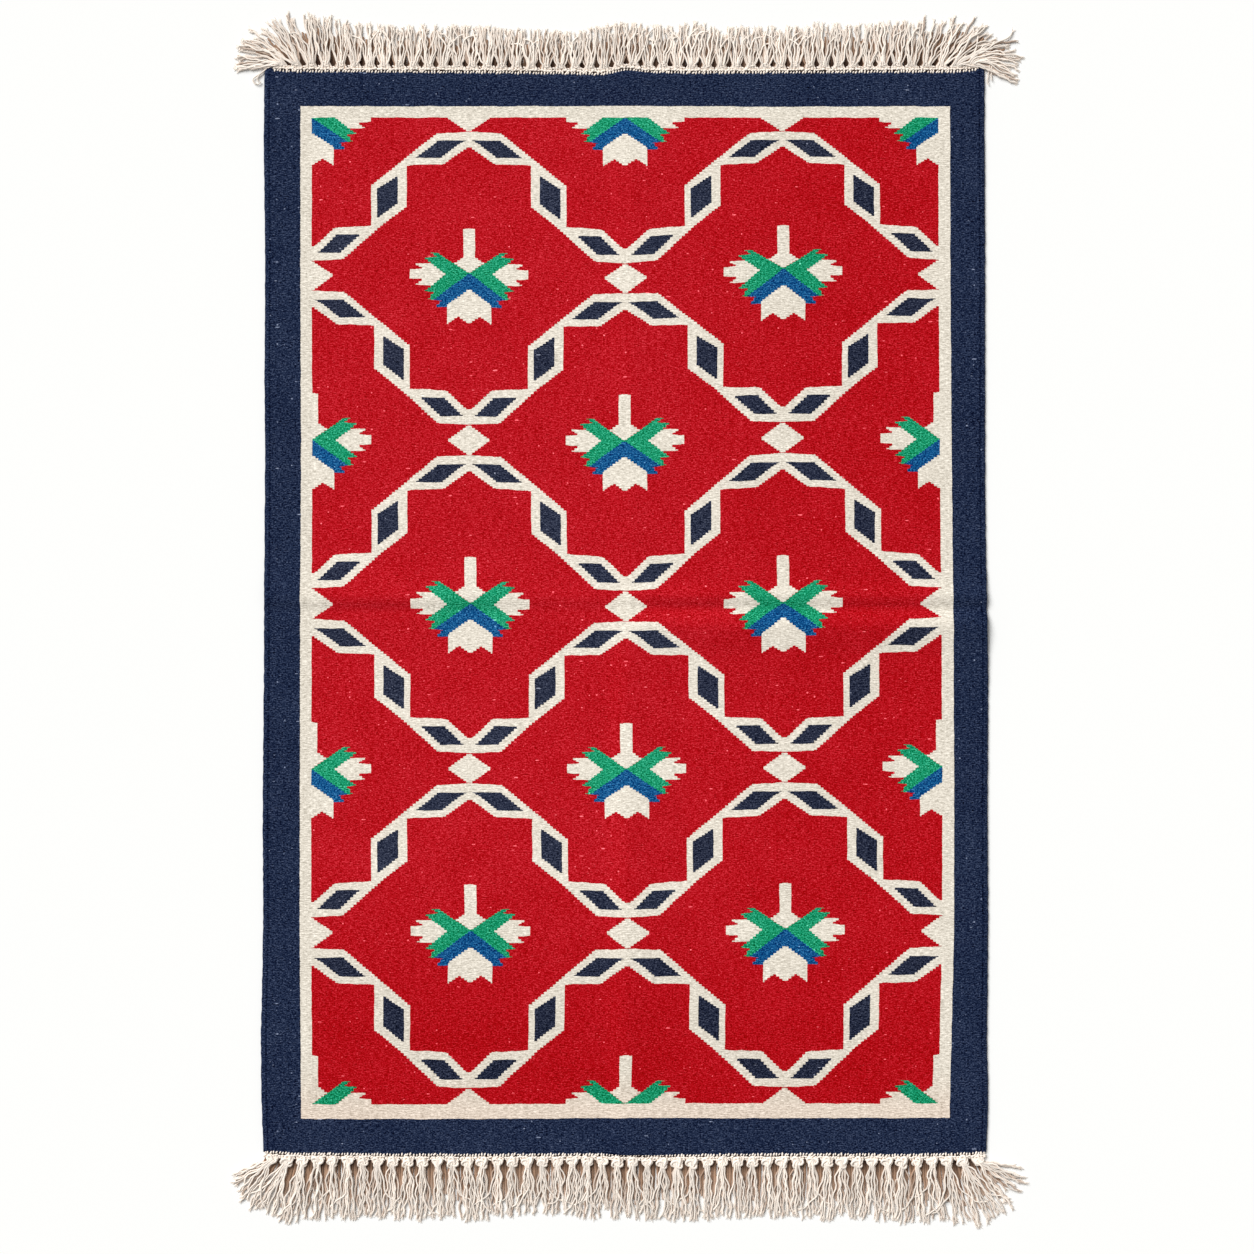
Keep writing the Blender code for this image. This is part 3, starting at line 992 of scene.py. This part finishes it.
def make_cloth_mesh(cloth):
    """A grid on the cloth's underside, with the chart's map and the distance from the selvedge."""
    columns = round((CLOTH_RIGHT - CLOTH_LEFT) / cloth.facet)
    lines = round((CLOTH_TOP - CLOTH_BOTTOM) / cloth.facet)
    rng = random.Random(RIM_WOBBLE_SEED)
    wobble = [[rng.uniform(-RIM_WOBBLE, RIM_WOBBLE) for _ in range(max(columns, lines) + 1)]
              for _ in range(4)]
    bm = bmesh.new()
    bmesh.ops.create_grid(bm, x_segments=columns, y_segments=lines, size=0.5)
    edge = bm.verts.layers.float.new("selvedge_mm")
    for vert in bm.verts:
        column = round((vert.co.x + 0.5) * columns)
        line = round((vert.co.y + 0.5) * lines)
        across = CLOTH_LEFT + (CLOTH_RIGHT - CLOTH_LEFT) * column / columns
        along = CLOTH_BOTTOM + (CLOTH_TOP - CLOTH_BOTTOM) * line / lines
        vert.co = cloth_point(across, along)
        vert[edge] = min(across - CLOTH_LEFT, CLOTH_RIGHT - across) / MM
        if column in (0, columns):
            vert.co.x += wobble[column > 0][line]
        if line in (0, lines):
            vert.co.y += wobble[2 + (line > 0)][column]
    chart = bm.loops.layers.uv.new("chart")
    places = {vert: chart_place(vert.co.x, vert.co.y) for vert in bm.verts}
    for face in bm.faces:
        face.smooth = True
        for loop in face.loops:
            loop[chart].uv = places[loop.vert]
    return mesh_from(bm, "cloth_sheet")


def outwards(end, heading):
    """The direction on the floor that is turned by a heading from straight out, positive to +X."""
    return Vector((math.sin(heading), end.side * math.cos(heading), 0.0))


def sideways(end, heading):
    """The direction on the floor square to a heading, on its +X side."""
    return Vector((math.cos(heading), -end.side * math.sin(heading), 0.0))


def corner_lean(end, place):
    """How far a strand turns outwards at a place along the heading."""
    left = math.radians(end.lean_left_deg) * math.exp(-(place - end.start) / end.run_left)
    right = math.radians(end.lean_right_deg) * math.exp(-(end.stop - place) / end.run_right)
    return right - left


def loose_length(end, place):
    """The length of a loose strand at a place along the heading."""
    return between(REACH_ROWS, place, TOP if end.side > 0 else BOTTOM)


def edge_point(end, place, depth, height):
    """A point beside the cloth's end edge."""
    edge = cloth_point(place, CLOTH_TOP if end.side > 0 else CLOTH_BOTTOM)
    return Vector((edge.x, edge.y + end.side * depth, height))


def tassel_place(end, fringe, number):
    """The middle of a tassel along the heading, and the distance to the next tassel."""
    pitch = (end.stop - end.start) / fringe.tassels
    return end.start + pitch * (number + 0.5), pitch


def tassel_lean(end, place, number):
    """How far a tassel's knot turns outwards, with the sway of the whole row."""
    sway = math.radians(SWAY_DEG) * math.sin(SWAY_TURN * number + end.seed)
    steepest = math.radians(STEEPEST_KNOT_DEG)
    return sway, min(max(corner_lean(end, place) + sway, -steepest), steepest)


def trunk_line(end, place, lean):
    """The middle points and headings of a tassel from the heading to behind its knot."""
    centre = edge_point(end, place, HEADING_DEPTH, 0.0)
    line = []
    for row in end.trunk:
        heading = lean * row.lean_share
        centre = centre + outwards(end, heading) * row.step
        line.append((centre.copy(), heading, row))
    return line


def smooth_path(points, step):
    """Points at about even steps on a smooth curve through the given points."""
    result = []
    for index in range(len(points) - 1):
        before = points[max(index - 1, 0)]
        start = points[index]
        stop = points[index + 1]
        after = points[min(index + 2, len(points) - 1)]
        pieces = max(1, round((stop - start).length / step))
        for piece in range(pieces):
            t = piece / pieces
            pull = (stop - before) * t + (2 * before - 5 * start + 4 * stop - after) * t ** 2
            bend = (3 * start - before - 3 * stop + after) * t ** 3
            result.append(start + (pull + bend) * 0.5)
    result.append(points[-1].copy())
    return result


def read_steps(values, share):
    """Read a value from numbers at even steps, at a share of the way along them."""
    place = share * (len(values) - 1)
    index = min(int(place), len(values) - 2)
    return values[index] * (index + 1 - place) + values[index + 1] * (place - index)


class YarnBook:
    """Collects the guide lines of one piece of yarn work, then turns them into a mesh of lines."""

    def __init__(self, name):
        self.name = name
        self.bm = bmesh.new()
        self.thickness = self.bm.verts.layers.float.new("thickness")
        self.yarn = self.bm.verts.layers.float_vector.new("yarn")

    def add(self, points, widths, shades, tone):
        """Add one line, with its radius and its painted shade at even steps from its start to its end."""
        travelled = 0.0
        last = None
        count = len(points) - 1
        for index, spot in enumerate(points):
            vert = self.bm.verts.new(spot)
            share = index / count
            if last is not None:
                travelled += (spot - last.co).length
                self.bm.edges.new((last, vert))
            vert[self.thickness] = read_steps(widths, share)
            vert[self.yarn] = Vector((read_steps(shades, share), tone, travelled))
            last = vert

    def mesh(self):
        """The finished mesh of lines."""
        return mesh_from(self.bm, self.name)


class Strand(NamedTuple):
    """One loose strand: its places across the heading and the tassel, layer, length and bend."""

    root: float
    turn: float
    level: int
    length: float
    bend: float


def strand_height(level, share, radius):
    """How high a strand lies between its knot and its tip: the upper ones sink on to the lower."""
    return radius + FLOOR_GAP + level * LAYER_HEIGHT * (1 - share) ** LAYER_SINK


def strand_points(end, number, strand, fringe, rng):
    """The way of one loose strand: from the cloth through the knot and out over the floor."""
    place, pitch = tassel_place(end, fringe, number)
    sway, lean = tassel_lean(end, place, number)
    points = [edge_point(end, place + strand.root * pitch * share, depth, height)
              for share, depth, height in STRAND_STARTS]
    for centre, heading, row in trunk_line(end, place, lean):
        side = strand.turn if row.lean_share > TURNED_LEAN_SHARE else strand.root
        spot = centre + sideways(end, heading) * side * row.half_width
        spot.z = row.height + (strand.level - 1) * LAYER_STEP
        points.append(spot)
    lock_place = place + strand.turn * LOCK_FAN_DISTANCE
    corner = corner_lean(end, lock_place)
    scatter = rng.gauss(0, math.radians(SCATTER_DEG) + abs(corner) * SCATTER_CORNER_SHARE)
    heading = corner + sway + strand.turn * math.radians(end.fan_deg) + scatter
    widest_left = -math.radians(end.lean_left_deg)
    widest_right = math.radians(end.lean_right_deg)
    opening = strand.turn * math.radians(end.opening_deg)
    length = loose_length(end, lock_place) * strand.length
    steps = max(3, round(length / STRIDE))
    stride = length / steps
    spot = points[-1].copy()
    start_height = spot.z
    wave = rng.uniform(0, 2 * math.pi)
    wave_step = rng.uniform(*WAVE_STEP)
    swing = math.radians(rng.uniform(*SWING_DEG))
    for index in range(steps):
        share = (index + 1) / steps
        curl = corner * end.curl_share * CURL_SECTIONS * share + strand.bend * share * share
        open_share = math.exp(-((index + 0.5) * stride / OPENING_RUN) ** 2)
        bend = swing * math.sin(wave + wave_step * index)
        way = min(max(heading + curl + opening * open_share, widest_left), widest_right) + bend
        spot = spot + outwards(end, way) * stride
        resting = strand_height(strand.level, share, fringe.strand_radius)
        spot.z = resting + (start_height - resting) * math.exp(-START_SINK * share)
        points.append(spot.copy())
    return smooth_path(points, fringe.step)


def fray(book, points, radius, rng):
    """Open the tip of a strand into a few thin plies, each bent a little more as it goes."""
    tip = points[-1]
    way = (tip - points[-3]).normalized()
    square = Vector((-way.y, way.x, 0.0))
    for ply in range(FRAY_PLIES):
        turn = 2 * ply / (FRAY_PLIES - 1) - 1
        spot = tip - way * FRAY_BACK + square * turn * radius * 0.5
        bend = turn * rng.uniform(*FRAY_BEND) + rng.uniform(*FRAY_STRAY)
        line = [spot.copy()]
        for piece in range(FRAY_PIECES):
            aim = (way + square * bend * (FRAY_FIRST_BEND + FRAY_MORE_BEND * piece)).normalized()
            spot = spot + aim * rng.uniform(*FRAY_STRIDE)
            spot.z = max(FRAY_LOWEST, spot.z - FRAY_DROP)
            line.append(spot.copy())
        book.add(line, [radius * share for share in FRAY_WIDTHS], (0.0, 0.0), 1.0)


def tassel_strands(count, rng):
    """The strands of one tassel. They are of about one length, but for a few that lie anyhow."""
    roots = [(index + 0.5) / count * 2 - 1 for index in range(count)]
    turns = sorted(roots, key=lambda value: value + rng.uniform(-TURN_SHUFFLE, TURN_SHUFFLE))
    group = rng.uniform(*GROUP_LENGTH)
    strands = []
    for index, (root, turn) in enumerate(zip(roots, turns)):
        length = group * (1 - SHORTEST_CUT * rng.random() ** 3) * rng.uniform(*STRAND_LENGTH)
        stray = rng.random() < STRAY_SHARE
        if stray:
            bend = rng.choice((-1, 1)) * rng.uniform(*STRAY_BEND)
        else:
            bend = rng.gauss(0, USUAL_BEND)
        level = 2 if stray else index % 3
        strands.append(Strand(root, turn * rng.uniform(*TURN_SPREAD), level, length, bend))
    return strands


def make_strand_lines(end, fringe):
    """The guide lines of all the loose strands of one end."""
    book = YarnBook("strand_lines")
    rng = random.Random(end.seed)
    for number in range(fringe.tassels):
        edge_rank = min(number, fringe.tassels - 1 - number)
        extra = CORNER_EXTRA[edge_rank] if edge_rank < len(CORNER_EXTRA) else 0
        for strand in tassel_strands(fringe.strands + extra, rng):
            points = strand_points(end, number, strand, fringe, rng)
            radius = fringe.strand_radius * rng.uniform(*STRAND_RADIUS_SPREAD)
            # Painted shade of the strand's layer, with less of it at the tip
            depth = LAYER_PAINTED_SHADES[strand.level] * rng.uniform(*STRAND_SHADE_SPREAD)
            book.add(points, (radius, radius * TIP_WIDTH), (depth, depth * TIP_SHADE), rng.random())
            fray(book, points, radius, rng)
    for curl in end.loose_curls:
        line = smooth_path([Vector((x, y, CURL_HEIGHT)) for x, y in curl], CURL_STRIDE)
        book.add(line, (fringe.strand_radius, CURL_TIP_RADIUS), CURL_SHADES, CURL_TONE)
    return book.mesh()


def make_shadow_strand_lines(end, fringe):
    """The guide lines of the dark strands on the floor under the tassels, which are painted shadow between
    them.
    """
    book = YarnBook("under_lines")
    rng = random.Random(end.seed + UNDER_SEED)
    count = fringe.tassels * fringe.under_strands
    for number in range(count):
        share = (number + 0.5) / count
        place = end.start + UNDER_INSET + (end.stop - end.start - 2 * UNDER_INSET) * share
        place += rng.uniform(*UNDER_PLACE)
        lean = corner_lean(end, place) * UNDER_LEAN_SHARE
        heading = min(max(lean, -UNDER_STEEPEST), UNDER_STEEPEST)
        length = UNDER_FIRST_LENGTH + loose_length(end, place) * rng.uniform(*UNDER_REACH)
        spot = edge_point(end, place, UNDER_START, UNDER_HEIGHTS[number % 2])
        points = [spot.copy()]
        for index in range(UNDER_STEPS):
            share = (index + 1) / UNDER_STEPS
            wander = math.radians(rng.uniform(*UNDER_WANDER_DEG))
            turn = heading * min(1.0, UNDER_FIRST_TURN + share) + wander
            spot = spot + outwards(end, turn) * (length / UNDER_STEPS)
            points.append(spot.copy())
        # Painted shadow: darkest by the heading, lighter towards the tips
        depth = rng.uniform(*UNDER_SHADE_SPREAD)
        shades = [value * depth for value in end.shadow_strand_shades]
        book.add(smooth_path(points, UNDER_STRIDE), UNDER_RADII, shades, rng.random())
    return book.mesh()


class GeometryNet(Net):
    """A Geometry Nodes tree with named inputs that ends in real, finished faces."""

    def __init__(self, name, inputs):
        tree = bpy.data.node_groups.new(name, "GeometryNodeTree")
        add = tree.interface.new_socket
        add(name="Geometry", in_out="INPUT", socket_type="NodeSocketGeometry")
        for label, value in inputs.items():
            kind = "NodeSocketInt" if isinstance(value, int) else "NodeSocketFloat"
            add(name=label, in_out="INPUT", socket_type=kind).default_value = value
        add(name="Geometry", in_out="OUTPUT", socket_type="NodeSocketGeometry")
        super().__init__(tree)
        group = self.node("NodeGroupInput")
        self.inputs = {socket.name: Value(self, socket) for socket in group.outputs}

    def lines(self):
        """The guides as curves."""
        return self.out("GeometryNodeMeshToCurve", {"Mesh": self.inputs["Geometry"]})

    def circle(self, sides):
        """A ring of radius 1."""
        return self.out("GeometryNodeCurvePrimitiveCircle", {"Resolution": sides, "Radius": 1.0},
                        mode="RADIUS")

    def turned(self):
        """The angle round a ring, from its start."""
        return self.out("GeometryNodeSplineParameter", output="Factor") * (2 * math.pi)

    def transform(self, geometry, what, value):
        """Turn or scale a shape."""
        return self.out("GeometryNodeTransform", {"Geometry": geometry, what: value})

    def named(self, name):
        """A number that is stored on the guides."""
        return self.out("GeometryNodeInputNamedAttribute", {"Name": name}, data_type="FLOAT")

    def chance(self, low, high, turn=0):
        """A random number for every point. Another turn gives another row of them."""
        seed = self.inputs["Seed"] + SEED_STEP * turn
        return self.out("FunctionNodeRandomValue", {2: low, 3: high, "Seed": seed}, 1,
                        data_type="FLOAT")

    def spread(self, points, shape, rotation, scale):
        """Set a shape on every point."""
        return self.out("GeometryNodeInstanceOnPoints", {
            "Points": points, "Instance": shape, "Rotation": rotation, "Scale": scale})

    def close(self, geometry, material):
        """Realise, smooth and finish the faces, and give them out."""
        real = self.out("GeometryNodeRealizeInstances", {0: geometry})
        soft = self.out("GeometryNodeSetShadeSmooth", {0: real})
        done = self.out("GeometryNodeSetMaterial", {"Geometry": soft, "Material": material})
        self.node("NodeGroupOutput", {0: done})
        return self.tree


def spin_yarn_tree(material):
    """Spins round yarn along guide lines. The yarn's turn round its line is kept for its twist and for the
    painted shade on its flanks.
    """
    net = GeometryNet("spin_yarn", {"Sides": 6, "Thickness": 1.0, "Roundness": 1.0})
    upright = net.out("GeometryNodeSetCurveNormal", {"Curve": net.lines()}, mode="Z_UP")
    radius = net.named("thickness") * net.inputs["Thickness"]
    angle = net.turned() + math.pi / 2
    turn = net.point(net.math("COSINE", angle), net.math("SINE", angle))
    ring = net.out("GeometryNodeStoreNamedAttribute", {
        "Geometry": net.circle(net.inputs["Sides"]), "Name": "turn", "Value": turn},
        data_type="FLOAT_VECTOR", domain="POINT")
    ring = net.transform(ring, "Rotation", (0.0, 0.0, math.pi / 2))
    ring = net.transform(ring, "Scale", net.point(1.0, net.inputs["Roundness"], 1.0))
    skin = net.out("GeometryNodeCurveToMesh", {
        "Curve": upright, "Profile Curve": ring, "Fill Caps": True, "Scale": radius})
    return net.close(skin, material)


def twined_link_tree(material):
    """Sets slanting links of yarn along a guide line, one after another, as twining does."""
    net = GeometryNet("twined_links", {
        "Spacing": 0.0046, "Length": 0.0066, "Thickness": 0.0034, "Seed": 3})
    spots = net.out("GeometryNodeResampleCurve", {
        "Curve": net.lines(), "Length": net.inputs["Spacing"]}, mode="LENGTH")
    ball = net.out("GeometryNodeMeshUVSphere", {"Segments": 8, "Rings": 5, "Radius": 0.5})
    thick = net.inputs["Thickness"]
    link = net.transform(ball, "Scale", net.point(net.inputs["Length"], thick, thick))
    ahead = net.parts(net.out("GeometryNodeInputTangent"))
    angle = net.math("ARCTAN2", ahead[1], ahead[0]) + net.named("slant")
    angle = angle + net.chance(-LINK_TURN, LINK_TURN)
    ragged = net.point(
        net.chance(-LINK_SHIFT_X, LINK_SHIFT_X, 1), net.chance(-LINK_SHIFT_Y, LINK_SHIFT_Y, 2))
    moved = net.out("GeometryNodeSetPosition", {"Geometry": spots, "Offset": ragged})
    size = net.named("plump") * net.chance(*LINK_SIZE, 3)
    return net.close(net.spread(moved, link, net.point(0.0, 0.0, angle), size), material)


def overhand_knot_tree(material):
    """Ties an overhand knot of yarn at the neck of each tassel, each turned its own way."""
    net = GeometryNet("overhand_knots", {
        "Size": 0.0080, "Lift": 0.0012, "Yarn radius": 0.0020, "Seed": 8})
    angle = net.turned()
    double = angle * 2.0
    third = net.inputs["Size"] / 3.0
    across = net.math("SINE", double) * 2.0 + net.math("SINE", angle)
    along = net.math("COSINE", double) * -2.0 + net.math("COSINE", angle)
    above = net.math("SINE", angle * 3.0) * net.inputs["Lift"]
    tied = net.out("GeometryNodeSetPosition", {
        "Geometry": net.circle(KNOT_POINTS), "Position": net.point(across * third, along * third, above)})
    yarn = net.out("GeometryNodeCurveToMesh", {
        "Curve": tied, "Profile Curve": net.circle(KNOT_SIDES), "Scale": net.inputs["Yarn radius"]})
    tilt = net.chance(-KNOT_TILT, KNOT_TILT, 1)
    turn = net.point(tilt, 0.0, net.chance(-math.pi, math.pi, 2))
    knots = net.spread(net.inputs["Geometry"], yarn, turn, net.chance(*KNOT_SIZE))
    return net.close(knots, material)


def grow(name, mesh, tree, settings):
    """Make a piece by running a tree with its own input values over a mesh of guides."""
    thing = link_object(name, mesh)
    modifier = thing.modifiers.new("grow", "NODES")
    modifier.node_group = tree
    for socket in tree.interface.items_tree:
        if socket.in_out == "INPUT" and socket.name in settings:
            modifier[socket.identifier] = settings[socket.name]
    bake_modifiers(thing).name = name
    return thing


def end_label(end):
    """The last word of an end's pieces."""
    return end.name.removeprefix("fringe_")


class RUG_OT_make_stage(bpy.types.Operator):
    """Make the pale floor, the soft lights and the camera above the rug."""

    bl_idname = "rug.make_stage"
    bl_label = "Make stage"

    def execute(self, context):
        stage = context.scene.rug_stage
        half = stage.floor_size / 2
        mesh = bpy.data.meshes.new("floor")
        corners = [(-half, -half, 0), (half, -half, 0), (half, half, 0), (-half, half, 0)]
        mesh.from_pydata(corners, [], [(0, 1, 2, 3)])
        mesh.materials.append(floor_material(stage))
        link_object("floor", mesh)
        world = bpy.data.worlds.new("even_light")
        world.use_nodes = True
        sky = world.node_tree.nodes["Background"]
        sky.inputs["Color"].default_value = (1.0, 1.0, 1.0, 1.0)
        sky.inputs["Strength"].default_value = stage.sky_strength
        context.scene.world = world
        sun = bpy.data.lights.new("key_light", "SUN")
        sun.energy = stage.sun_strength
        sun.angle = math.radians(SUN_SPREAD_DEG)
        key = bpy.data.objects.new("key_light", sun)
        key.rotation_euler = Vector(SUN_WAY).to_track_quat("-Z", "Y").to_euler()
        context.scene.collection.objects.link(key)
        camera = bpy.data.objects.new("camera", bpy.data.cameras.new("camera"))
        camera.data.lens = stage.lens
        camera.location = (CAMERA_X, CAMERA_Y, stage.camera_height)
        context.scene.collection.objects.link(camera)
        context.scene.camera = camera
        context.scene.view_settings.view_transform = "Standard"
        return {"FINISHED"}


class RUG_OT_make_heading(bpy.types.Operator):
    """Make the twined rows of yarn that finish each end of the cloth."""

    bl_idname = "rug.make_heading"
    bl_label = "Make heading"

    def execute(self, context):
        fringe = context.scene.rug_fringe
        tree = twined_link_tree(yarn_material("heading_cotton", fringe, False))
        for end in ENDS:
            mesh = self.guide_rows(end)
            thing = grow("heading_" + end_label(end), mesh, tree, {
                "Spacing": fringe.link_spacing, "Seed": end.seed})
            keep_piece(thing)
            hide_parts(end.name)
        return {"FINISHED"}

    def guide_rows(self, end):
        """Lines beside the cloth's edge. Each line has its own slant and size of links."""
        bm = bmesh.new()
        slant = bm.verts.layers.float.new("slant")
        plump = bm.verts.layers.float.new("plump")
        for depth, height, lean, size in HEADING_ROWS:
            last = None
            for index in range(HEADING_STEPS + 1):
                place = end.start + (end.stop - end.start) * index / HEADING_STEPS
                vert = bm.verts.new(edge_point(end, place, depth, height))
                vert[slant] = lean
                vert[plump] = size
                if last:
                    bm.edges.new((last, vert))
                last = vert
        return mesh_from(bm, "heading_rows")


class RUG_OT_make_strands(bpy.types.Operator):
    """Make the loose strands of every tassel and the dark strands under them, which are painted shadow."""

    bl_idname = "rug.make_strands"
    bl_label = "Make strands"

    def execute(self, context):
        fringe = context.scene.rug_fringe
        tree = spin_yarn_tree(yarn_material("strand_cotton", fringe, True))
        for end in ENDS:
            label = end_label(end)
            over = grow("strands_" + label, make_strand_lines(end, fringe), tree, {"Sides": 5})
            under = grow("under_strands_" + label, make_shadow_strand_lines(end, fringe), tree,
                         {"Sides": 6, "Roundness": 0.30})
            for thing in (over, under):
                keep_piece(thing)
                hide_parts(end.name)
        return {"FINISHED"}


class RUG_OT_make_knots(bpy.types.Operator):
    """Make the knot at the neck of every tassel."""

    bl_idname = "rug.make_knots"
    bl_label = "Make knots"

    def execute(self, context):
        fringe = context.scene.rug_fringe
        tree = overhand_knot_tree(yarn_material("knot_cotton", fringe, False))
        for end in ENDS:
            bm = bmesh.new()
            for number in range(fringe.tassels):
                place = tassel_place(end, fringe, number)[0]
                lean = tassel_lean(end, place, number)[1]
                centre = trunk_line(end, place, lean)[0][0]
                bm.verts.new((centre.x, centre.y, end.trunk[0].height))
            mesh = mesh_from(bm, "knot_places")
            size, lift, yarn = end.knot_size
            thing = grow("knots_" + end_label(end), mesh, tree, {
                "Size": size, "Lift": lift, "Yarn radius": yarn, "Seed": end.seed})
            keep_piece(thing)
            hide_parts(end.name)
        return {"FINISHED"}


class RUG_OT_make_cloth(bpy.types.Operator):
    bl_idname = "rug.make_cloth"
    bl_label = "Make cloth"

    def execute(self, context):
        cloth = context.scene.rug_cloth
        mesh = make_cloth_mesh(cloth)
        mesh.materials.append(weave_material(cloth))
        thing = link_object("cloth_sheet", mesh)
        thickness = thing.modifiers.new("thickness", "SOLIDIFY")
        thickness.thickness = cloth.thickness
        thickness.offset = 1.0
        rim = thing.modifiers.new("rim", "BEVEL")
        rim.width = cloth.rim
        rim.segments = 2
        rim.limit_method = "ANGLE"
        rim.angle_limit = math.radians(RIM_ANGLE_DEG)
        bake_map(bake_modifiers(thing), cloth.thickness)
        keep_piece(thing)
        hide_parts("woven_body")
        return {"FINISHED"}


class RUG_PT_parts(bpy.types.Panel):
    """Lists the pieces of the rug and the settings that shape them."""

    bl_label = "Dhurrie rug"
    bl_idname = "RUG_PT_parts"
    bl_space_type = "VIEW_3D"
    bl_region_type = "UI"
    bl_category = "Rug"

    def draw(self, context):
        layout = self.layout
        for operator in OPERATORS:
            layout.operator(operator.bl_idname)
        for group in (context.scene.rug_cloth, context.scene.rug_fringe, context.scene.rug_stage):
            for name in group.bl_rna.properties.keys():
                if name not in ("rna_type", "name"):
                    layout.prop(group, name)


OPERATORS = (
    RUG_OT_make_stage,
    RUG_OT_make_heading,
    RUG_OT_make_strands,
    RUG_OT_make_knots,
    RUG_OT_make_cloth,
)
GROUPS = {"rug_cloth": ClothSettings, "rug_fringe": FringeSettings, "rug_stage": StageSettings}


def register():
    for name, group in GROUPS.items():
        bpy.utils.register_class(group)
        setattr(bpy.types.Scene, name, bpy.props.PointerProperty(type=group))
    for operator in OPERATORS:
        bpy.utils.register_class(operator)
    bpy.utils.register_class(RUG_PT_parts)


def unregister():
    bpy.utils.unregister_class(RUG_PT_parts)
    for operator in reversed(OPERATORS):
        bpy.utils.unregister_class(operator)
    for name, group in GROUPS.items():
        delattr(bpy.types.Scene, name)
        bpy.utils.unregister_class(group)


def main():
    register()
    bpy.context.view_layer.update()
    bpy.ops.rug.make_stage()
    bpy.ops.rug.make_heading()
    bpy.ops.rug.make_strands()
    bpy.ops.rug.make_knots()
    bpy.ops.rug.make_cloth()


if __name__ == "__main__":
    main()
